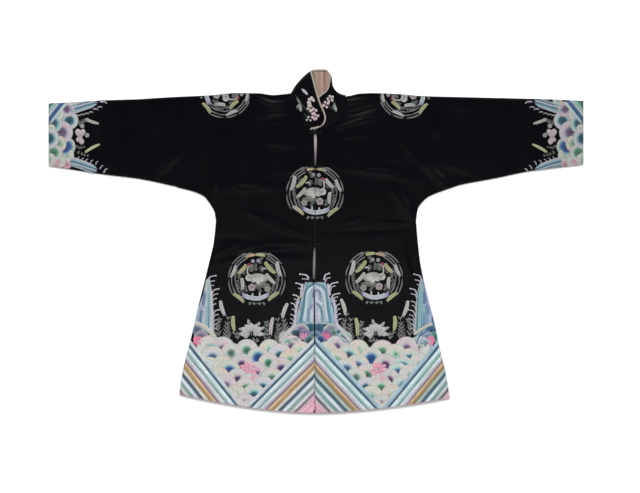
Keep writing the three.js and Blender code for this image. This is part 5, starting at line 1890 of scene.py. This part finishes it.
# %% The roundel and its places
def roundel(ears):
    """Ears, ring stems, leaves, wave and blossoms round the crane."""
    shapes = []
    for first, last, radius, wide in (
            (148, 176, 80, 4.6), (178, 214, 79, 5.4), (156, 196, 71, 4.2), (190, 226, 70, 4.8),
            (146, 190, 61, 4.4), (184, 224, 60, 5.2), (200, 236, 53, 4.4), (98, 124, 78, 3.6)):
        for start, end in ((first, last), (180 - first, 180 - last)):
            tint = (96, 98, 96) if radius % 2 else (112, 112, 112)
            shapes.append(arc(0, 0, radius, start, end, wide, tint, rows=12, profile="leaf",
                              tip=(126, 125, 128)))
    for k in range(7):
        for side in (-1, 1):
            angle = 90 - side * (22 + 4.8 * k)
            c, s = cos_sin(angle)
            for radius, turn in ((80, 0.30), (74, -0.1), (68, -0.35)):
                aim = angle - side * (90 - math.degrees(turn))
                shapes.append(ray(radius * c, radius * s, aim, 0, 9.5, 4.0, (112, 114, 112),
                                  rows=6, tip=(136, 134, 140)))
    for start, end, wide, tint, tip, bend in ears:
        shapes += ear(start, end, wide * EAR_FULLNESS, tint, tip, bend)
    for points in ([(-2, 26), (4, 34), (2, 46)], [(10, 24), (14, 31), (12, 40)],
                   [(-16, 40), (-12, 32), (-16, 24)], [(46, 22), (50, 12), (48, 4)],
                   [(-44, 2), (-48, -14), (-42, -26)], [(30, -14), (34, -24), (28, -32)],
                   [(-12, 44), (-8, 56), (-16, 62)], [(20, 22), (16, 30), (20, 36)],
                   [(52, 2), (54, -12), (50, -24)], [(-58, 18), (-58, 2), (-54, -14)],
                   [(-12, -16), (-6, -24), (-12, -34)], [(34, 14), (38, 26), (34, 32)],
                   [(-34, 44), (-42, 34), (-44, 22)]):
        shapes += spray(points, 11, (98, 102, 96), 4, 3.8)
    shapes += blossom(-30, -25, 19, (160, 160, 154), turn=15, edge=(116, 116, 110))
    shapes += blossom(14, -21, 22, (178, 166, 166), edge=(128, 116, 118))
    shapes += blossom(-4, 54, 11, (172, 172, 178), petals=4, edge=(126, 126, 132))
    shapes += blossom(11, 53, 11, (178, 177, 184), petals=4, edge=(130, 130, 134))
    shapes.append(through([(-26, 30), (-19, 33), (-14, 28)], 4.2, (196, 196, 198), rows=8, lift=0.5))
    for offset, tint in ((4.2, (196, 204, 208)), (0, (178, 190, 200)), (-4.2, (194, 200, 208))):
        points = [(-35, -39 + offset), (-19, -47.5 + offset), (0, -52 + offset), (26, -48 + offset),
                  (42, -41 + offset)]
        band = through(points, 4.6, tint, rows=24, lift=0.4)
        ends = np.clip((np.abs(band[..., 0] - 3) - 24) / 10, 0, 1)[..., None]
        band[..., 5:] = mix(tint, LILAC, ends)
        shapes.append(band)
    for x, y, size in ((-8, -38, 9), (12, -41, 9), (-22, -43, 6), (27, -42, 6)):
        shapes.append(blade((x, y - size), (x, y + size * 0.5), 5.6, (198, 204, 206),
                            profile="ear", rows=7, lift=0.9))
    for x in (-18, -6, 8, 20):
        shapes.append(blade((x, -61), (x - 2 + x / 9, -71), 7.5, (124, 134, 136), profile="petal",
                            rows=6, tip=(104, 114, 114)))
    return shapes + [arc(0, 0, 66, 250, 292, 2.6, (96, 104, 102), rows=10)] + crane()


# painted shade: the shoulder roundels are darkened most, then the chest ones, the lower ones least
CHEST = moved(painted_shade_copies(roundel(CHEST_EARS), 0.88), -3, 133)
LOWER = painted_shade_copies(roundel(LOWER_EARS), 0.93)
HIGH = painted_shade_copies(roundel(SHOULDER_EARS), 0.86)
ROUNDELS = {
    -1: CHEST + moved(LOWER, -166, -108, mirror=True) + moved(HIGH, -259, 423, -90, 0.95),
    1: CHEST + moved(LOWER, 163, -105) + moved(HIGH, 253, 421, 90, 0.95, mirror=True),
}
print(len(LOWER), "shapes in a roundel")


# %% [markdown]
# ## Plants on the black ground
#
# White peonies, pale ears and dim leaf sprays stand on the water at each side of the rock, and a
# pink peony lies on the waves. Petals are bands that start at one point and overlap, the inner
# rings shorter and higher, as an embroiderer pads a flower toward its heart.

# %% Peonies, ears and sprays
def peony(x, y, size, tint, heart, turn=0.0):
    """Rings of petals, the inner ones shorter and higher, round a dark heart."""
    shapes = []
    for ring, (count, reach, wide) in enumerate(((9, 0.50, 0.24), (7, 0.37, 0.22), (5, 0.22, 0.18))):
        for k in range(count):
            c, s = cos_sin(turn + 90 + 360 * (k + 0.5 * ring) / count)
            dx, dy = c * size * 1.08, s * size * 0.94
            shade = mix(tint, heart, 0.16 * ring + 0.06 * (k % 2))
            shapes.append(blade(
                (x + dx * 0.06, y + dy * 0.06), (x + dx * reach, y + dy * reach), size * wide * 1.2,
                shade, profile="petal", rows=7, lift=0.15 + 0.3 * ring,
                edge=mix(shade, (214, 214, 210), 0.5)))
    return shapes + [dot(x, y, size * 0.1, heart, rows=5, lift=1.2)]


def open_peony(x, y):
    """A peony seen from the side: petals spread like a hand above its calyx, leaf tips behind."""
    shapes = [
        ray(x, y, angle, 20, reach, 11, (134, 136, 132), rows=7, tip=(160, 162, 158))
        for angle, reach in (
            (160, 39), (128, 30), (104, 41), (52, 40), (24, 42), (-6, 40), (184, 38))]
    for ring, (reach, wide, step) in enumerate(((33, 15, 32), (25, 13, 34), (16, 10, 38))):
        for k in range(-3, 4):
            angle = 90 + step * (k + 0.5 * (ring == 1))
            c, s = cos_sin(angle)
            if s < -0.55:
                continue
            squash = 0.86 if abs(c) < 0.6 else 1.0
            shade = mix((184, 184, 181), (128, 128, 126), 0.16 * ring + 0.08 * (k % 2))
            shapes.append(ray(x, y, angle, 4, reach * squash, wide, darker(shade, 0.18),
                              profile="petal", rows=7, tip=shade, lift=0.2 + 0.3 * ring,
                              edge=(206, 206, 203)))
    return shapes + [blade((x, y - 9), (x, y + 7), 5, (92, 94, 92), lift=1.0, rows=7)]


GROUND_EARS = {
    # start, end, width, colour
    -1: [((-269, -165), (-255, -207), 13.8, (184, 180, 184)),
         ((-233, -208), (-228, -250), 14.4, WHEAT),
         ((-121, -212), (-126, -262), 13.8, (188, 180, 178)),
         ((-80, -172), (-93, -215), 13.8, WHITE)],
    1: [((259, -165), (243, -210), 13.8, WHITE), ((221, -208), (218, -249), 14.4, WHEAT),
        ((112, -213), (115, -264), 14.4, WHEAT), ((70, -160), (82, -206), 13.8, WHITE)],
}
PLANT_STEMS = {
    # length of the leaves, pairs of leaves, three points of the stem from the ground up
    -1: [(23.75, 6, (-247, -282), (-250, -248), (-246, -212)),
         (18.75, 5, (-272, -268), (-276, -238), (-268, -214)),
         (15, 3, (-218, -278), (-222, -262), (-232, -254)),
         (21.25, 5, (-141, -284), (-136, -250), (-140, -222)),
         (22.5, 6, (-112, -286), (-104, -252), (-108, -216)),
         (21.25, 6, (-92, -268), (-86, -240), (-96, -200)),
         (12.5, 4, (-158, -280), (-176, -276), (-200, -284))],
    1: [(23.75, 6, (238, -282), (240, -248), (236, -212)),
        (18.75, 5, (262, -268), (264, -238), (256, -214)),
        (15, 3, (206, -278), (210, -262), (218, -254)),
        (21.25, 5, (128, -284), (124, -250), (130, -222)),
        (22.5, 6, (102, -286), (94, -252), (98, -216)),
        (21.25, 6, (84, -262), (76, -238), (88, -200)),
        (12.5, 4, (146, -280), (162, -276), (186, -284))],
}


def plants(side):
    """What stands on the black between the centre rock and the side rock."""
    shapes = []
    for leaf, pairs, *points in PLANT_STEMS[side]:
        shapes += spray(points, leaf, (114, 116, 113), pairs, 4.8, angle=34)
    for row in GROUND_EARS[side]:
        shapes += ear(*row, bend=side * 2.5)
    shapes += open_peony(-181 if side < 0 else 168, -257)
    pink = (-187, -358) if side < 0 else (174, -359)
    shapes += peony(*pink, 54, (222, 152, 174), (200, 110, 146), turn=25)
    shapes += peony(pink[0] + 13, pink[1] - 24, 30, (216, 168, 182), (206, 130, 158), turn=60)
    return shapes


print("plants:", [len(plants(side)) for side in (-1, 1)], "shapes")


# %% [markdown]
# ## Cuffs
#
# Each sleeve end has the hem's sea turned by a right angle: scallops that open toward the arm, a
# few stripes of water, and a strip of rock above and below. It is drawn once, and mirrored.

# %% Cuffs
CUFF = [
    # right end, middle height, radius and palette of a scallop, those underneath first
    (-664, 394, 15, "plain"), (-677, 371, 22, "blush"), (-666, 339, 26, "teal"),
    (-674, 266, 28, "deep"), (-678, 242, 22, "plain"), (-706, 358, 24, "mint"),
    (-681, 306, 33, "blush"), (-699, 274, 24, "peach"), (-711, 331, 27, "cyan"),
    (-711, 249, 25, "green"), (-719, 289, 30, "teal"), (-702, 224, 20, "plain"),
    (-730, 316, 14, "plain"), (-728, 228, 22, "mint"),
]
CUFF_WATER = [
    # distance from the deep stripe, width, colour
    (-9, 8, (184, 200, 204)), (0, 11, (48, 88, 136)), (8, 6, (196, 206, 210)),
    (15, 8, (150, 184, 176)), (23, 9, (72, 120, 112)),
]
CUFF_ROCKS = {
    # a line through the rock, tips of its foam with their size and turn
    1: (((-690, 366), (-655, 376), (-611, 389)),
        ((-588, 388, 16, -70), (-600, 376, 11.2, -60), (-612, 370, 12, -62),
         (-626, 362, 9.6, -62), (-638, 358, 9.6, -62), (-650, 355, 9.6, -62),
         (-662, 352, 9.6, -70))),
    -1: (((-692, 228), (-655, 218), (-612, 203)),
         ((-586, 204, 13.6, -8), (-598, 213, 11.2, -8), (-612, 225, 10.4, 0),
          (-626, 228, 10.4, -8), (-640, 231, 9.6, -8), (-652, 234, 9.6, -8),
          (-664, 237, 9.6, -8))),
}
CUFF_BANDS = [
    # distance from the middle of a rock, colour, how much shorter it ends
    (13, (136, 164, 178), 0.88), (7, (172, 186, 194), 0.97), (1.5, (66, 112, 144), 1.0),
    (-4, (140, 178, 182), 0.95), (-9, (176, 182, 190), 0.86),
]


def cuff():
    """Scallops that open toward the arm, rock above and below, and a sprig between them."""
    shapes = [fan(x - radius, y + radius, radius, SEA_TINTS[palette], turn=-90, core=1.45)
              for x, y, radius, palette in CUFF]
    for k, (offset, wide, tint) in enumerate(CUFF_WATER):
        start = (-706 - offset * 0.78, 396 + offset * 0.62)
        shapes.append(stripe(start, (-0.62, -0.78), 78, wide / 2, tint, k))
    for lean, (points, tips) in CUFF_ROCKS.items():
        for shift, tint, reach in CUFF_BANDS:
            line = [(-690 + (x + 690) * reach, y + lean * shift) for x, y in points]
            shapes.append(through(line, 6.2, tint, rows=14, lift=0.4, tip=mix(tint, PEARL, 0.2)))
        for x, y, size, turn in tips:
            shapes += moved(froth(size), x, y, turn=turn)
    shapes += ear((-648, 344), (-610, 331), 11, WHITE, bend=-1.5)
    shapes += ear((-649, 250), (-607, 272), 10, (206, 206, 160), bend=1.5)
    for x, y, angle, reach, wide in ((-664, 288, 100, 29, 19), (-659, 290, 74, 27, 17),
                                     (-661, 298, -80, 27, 17), (-664, 298, -106, 20, 13)):
        shapes.append(ray(x, y, angle, 0, reach, wide, (176, 158, 166), profile="petal",
                          tip=(196, 184, 190), edge=(204, 190, 194), lift=0.3))
    shapes += blossom(-656, 324, 13, (168, 164, 166)) + blossom(-642, 298, 13, (164, 160, 164))
    for points in ([(-676, 270), (-664, 263), (-646, 266)], [(-672, 252), (-655, 245), (-636, 240)],
                   [(-668, 332), (-655, 338), (-636, 346)], [(-668, 326), (-656, 334), (-640, 338)]):
        shapes += spray(points, 10, (104, 108, 104), 4, 3.0)
    shapes += blossom(-733, 222, 32, (206, 150, 170), edge=(216, 190, 198))
    shapes += blossom(-699, 215, 26, (210, 150, 172), edge=(216, 186, 194))
    # painted shade: the cuff is darkened
    return painted_shade_copies(shapes, 0.9)


# painted shade: the right cuff is darkened a little more than the left
CUFFS = {-1: cuff(), 1: painted_shade_copies(moved(cuff(), mirror=True), 0.93)}
print("cuff", len(CUFFS[1]), "shapes")


# %% [markdown]
# ## Stitching on the collar
#
# The collar is not level, so its motifs take their height from the band: the mean of the nearest
# points of its outer face, weighted by 1 / distance^2.

# %% Collar motifs
COLLAR_FRONTS = {
    # the lines of each front of the collar
    -1: slice(0, (len(COLLAR_LEFT) - 1) * LINES_PER_STATION + 1),
    1: slice(-(len(COLLAR_RIGHT) - 1) * LINES_PER_STATION - 1, None),
}


def collar_top(side, x, y):
    """Height of the upper face of one front of the collar at some points."""
    place = collar_grid[COLLAR_FRONTS[side]].reshape(-1, 5)
    gap = (place[None, :, 0] - x[:, None]) ** 2 + (place[None, :, 1] - y[:, None]) ** 2
    near = np.argsort(gap, axis=1)[:, :5]
    weight = 1 / (np.take_along_axis(gap, near, axis=1) + 0.05)
    return (place[near, 2] * weight).sum(axis=1) / weight.sum(axis=1) + WALL / 2


PALE, PALE_EDGE, PINK, PINK_EDGE = (190, 182, 178), (146, 140, 136), (202, 176, 180), (160, 136, 140)


def petals(x, y, size, tint, edge, angles):
    """Broad loose petals at some angles, some longer than others."""
    return [
        ray(x, y, angle, 0.06 * size, size * (0.62 - 0.08 * (k % 3)), size * (0.50 - 0.05 * (k % 2)),
            tint, profile="petal", rows=7, edge=edge, bend=0.04 * size * (-1) ** k,
            lift=0.1 + 0.06 * k)
        for k, angle in enumerate(angles)]


COLLAR_FLOWERS = {
    -1: petals(-13, 392, 24, PALE, PALE_EDGE, (80, 140, 20, 250, 190))
    + petals(-16, 374, 20, PALE, PALE_EDGE, (120, 200, 60, 280))
    + petals(-7, 364, 22, PINK, PINK_EDGE, (150, 30, 240, 300, 90))
    + petals(-3, 350, 21, PINK, PINK_EDGE, (100, 200, 290, 20, 250))
    + petals(-20, 342, 17, (176, 176, 170), (124, 128, 122), (90, 200, 320))
    + [blade((-40, 428), (-23, 411), 8.5, (168, 170, 178), profile="ear", tip=(184, 184, 190)),
       blade((-47, 388), (-42, 364), 12, (116, 126, 120), profile="ear", tip=(140, 148, 142)),
       blade((-54, 404), (-44, 384), 8, (96, 106, 100)),
       blade((-50, 384), (-54, 372), 7, (100, 112, 106))],
    1: petals(39, 400, 21, PALE, PALE_EDGE, (30, 100, 170, 250, 320))
    + petals(27, 384, 19, (206, 194, 190), PINK_EDGE, (20, 110, 200, 300))
    + petals(17, 380, 12, (206, 130, 146), (180, 104, 124), (60, 180, 300))
    + [blade((51, 386), (57, 364), 9, (116, 126, 120), profile="ear", tip=(150, 154, 150)),
       blade((46, 372), (54, 390), 7, (86, 104, 94))],
}
COLLAR_STEMS = {
    -1: ([(-60, 412), (-44, 392), (-30, 372), (-10, 352)], [(-24, 400), (-16, 386), (-14, 368)],
         [(-34, 360), (-28, 350), (-22, 344)]),
    1: ([(28, 388), (42, 376), (56, 366)], [(44, 396), (50, 386), (52, 376)]),
}
print("collar flowers:", [len(shapes) for shapes in COLLAR_FLOWERS.values()], "shapes")

# %% [markdown]
# ## Lining, piping and cords
#
# Lining and piping are plain-woven silk: the same weave group, coarser and with a little sheen. The
# collar's lining has painted shade in darker streaks, the strip in the slits painted shade lower
# down, so both read a colour for each point. The cords are the jacket's own satin, a little rougher.

# %% Materials of the small pieces
CORD_SATIN = black_satin("cord_satin", (4, 4, 7), 0.36)


def lining_silk(name, tint=None):
    """Plain-woven silk with a fine weave: one colour, or the colours of the piece's attribute, own
    colour and painted shade together.
    """
    base = srgb(*(tint or (120, 112, 116)))
    material, tree, shader = principled(
        name, Base_Color=(*base, 1), Roughness=0.6, Sheen_Weight=0.2, Sheen_Roughness=0.4)
    place = node(tree, "ShaderNodeUVMap", uv_map="cloth").outputs[0]
    normal, _ = weave_bump(tree, 0.4, 0.0001, place, 0.0006)
    tree.links.new(normal, shader.inputs["Normal"])
    if tint is None:
        own = node(tree, "ShaderNodeAttribute", attribute_name="floss")
        tree.links.new(own.outputs["Color"], shader.inputs["Base Color"])
    return material


COLLAR_TAN_AND_SHADE = np.array([
    # place across, red, green, blue: the lining's own pinkish tan, with painted shade in darker
    # streaks from the neck up
    (-20, 70, 60, 48), (-9, 92, 78, 60), (-3, 120, 106, 84), (3, 130, 114, 94), (9, 118, 92, 80),
    (14, 134, 110, 98), (18, 148, 126, 112), (21, 122, 90, 80), (23.5, 92, 58, 54),
    (26, 116, 84, 78), (29, 138, 112, 102), (33, 128, 102, 94), (38, 146, 122, 114),
    (43, 124, 104, 98), (50, 96, 80, 76),
])
tint_by(collar_lining, 0, COLLAR_TAN_AND_SHADE)
collar_shell.data.materials.append(SATIN)
collar_lining.data.materials.append(lining_silk("collar_silk"))
lining_strip.data.materials.append(lining_silk("strip_silk"))
piping.data.materials.append(lining_silk("piping_silk", (136, 128, 118)))
for piece in frog_pieces.values():
    piece.data.materials.append(CORD_SATIN)
print(len(bpy.data.materials), "materials")

# %% [markdown]
# ## Stitching on the jacket
#
# The back carries the same drawing as the front. Only the shoulder roundels differ: what lies past
# the fold continues on the other side.

# %% Front, back, cuffs and collar
def over_the_fold(shapes, side):
    """What lies beyond the shoulder, folded over onto the back: y becomes 2 * fold - y."""
    copies = []
    for shape in shapes:
        fold = shoulder[side](np.clip(np.abs(shape[..., 0]), 90, HALF_SPAN))
        copy = shape[:, ::-1].copy()
        copy[..., 1] = (2 * fold - shape[..., 1])[:, ::-1]
        copies.append(copy)
    return copies


SHOULDER_FROM = 300     # roundels whose middle is higher than this lie across the fold
SIDES = {"left": -1, "right": 1}
stitched = {}
for word, side in SIDES.items():
    ground = (waves(side) + rock_foot() + side_rock(side) + water(side, "side")
              + water(side, "centre") + hem_line(side) + centre_rock() + plants(side))
    high = [shape[..., 1].mean() > SHOULDER_FROM for shape in ROUNDELS[side]]
    low = [shape for shape, above in zip(ROUNDELS[side], high) if not above]
    past = over_the_fold([shape for shape, above in zip(ROUNDELS[side], high) if above], side)
    for name, shapes, layer in (
            ("front", ground + ROUNDELS[side], "front"), ("back", ground + low + past, "back"),
            ("cuff", CUFFS[side], "front"), ("cuff_back", CUFFS[side], "back")):
        stitched[f"{name}_{word}"] = stitch(f"silk_{name}_{word}", shapes, side, layer)
for word, side in SIDES.items():
    shapes = [through(path, 2, (44, 66, 56), rows=14) for path in COLLAR_STEMS[side]]
    shapes += COLLAR_FLOWERS[side]
    points, faces = joined(shapes, lambda x, y: (x, y, np.zeros(len(x), bool)))
    height = collar_top(side, points[:, 0], points[:, 1]) + points[:, 2]
    stitched[f"collar_{word}"] = stitched_mesh(f"silk_collar_{word}", points, height, faces)

# %% [markdown]
# ## Bodies
#
# Nothing on the jacket moves, so every piece rides on the root. Cloth, piping and cords take the
# place of their solids, and the stitching is an addition to them.

# %% Bodies and replaced solids
for piece in stitched.values():
    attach(piece, "root")
for piece, node_name, slot in (
    [(piece, node_name, "satin") for node_name, piece in satin_pieces.items()]
    + [(collar_shell, "collar_shell", "satin"), (collar_lining, "collar_lining", "lining"),
       (lining_strip, "lining_back", "lining"), (piping, "collar_binding", "silk_thread")]
    + [(piece, node_name, "cord") for node_name, piece in frog_pieces.items()]
):
    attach(piece, "root")
    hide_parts(node_name)

# %% [markdown]
# ## Flat sizes
#
# A jacket of this kind is cut flat: each half of the body is one length of silk that runs from the
# front hem over the shoulder to the back hem, and a sleeve end is sewn on where the loom's width
# ends. So the flat sizes are read straight from the pieces.

# %% Flat sizes
def line_length(line):
    """Length in metres of a row of points."""
    return float(np.linalg.norm(np.diff(line[..., :3], axis=0), axis=-1).sum()) * MM


def band_size(grid):
    """Greatest length and height of a band, in metres."""
    lines = [line_length(grid[:, k]) for k in (0, -1)]
    heights = [line_length(grid[k]) for k in range(0, len(grid), 8)]
    return max(lines), max(heights)


for word, side in SIDES.items():
    girth = 2 * float(shoulder[side](SLEEVE_SEAM_X) - under[side](SLEEVE_SEAM_X)) * MM
print("collar", band_size(collar_grid), "lining", band_size(lining_grid))
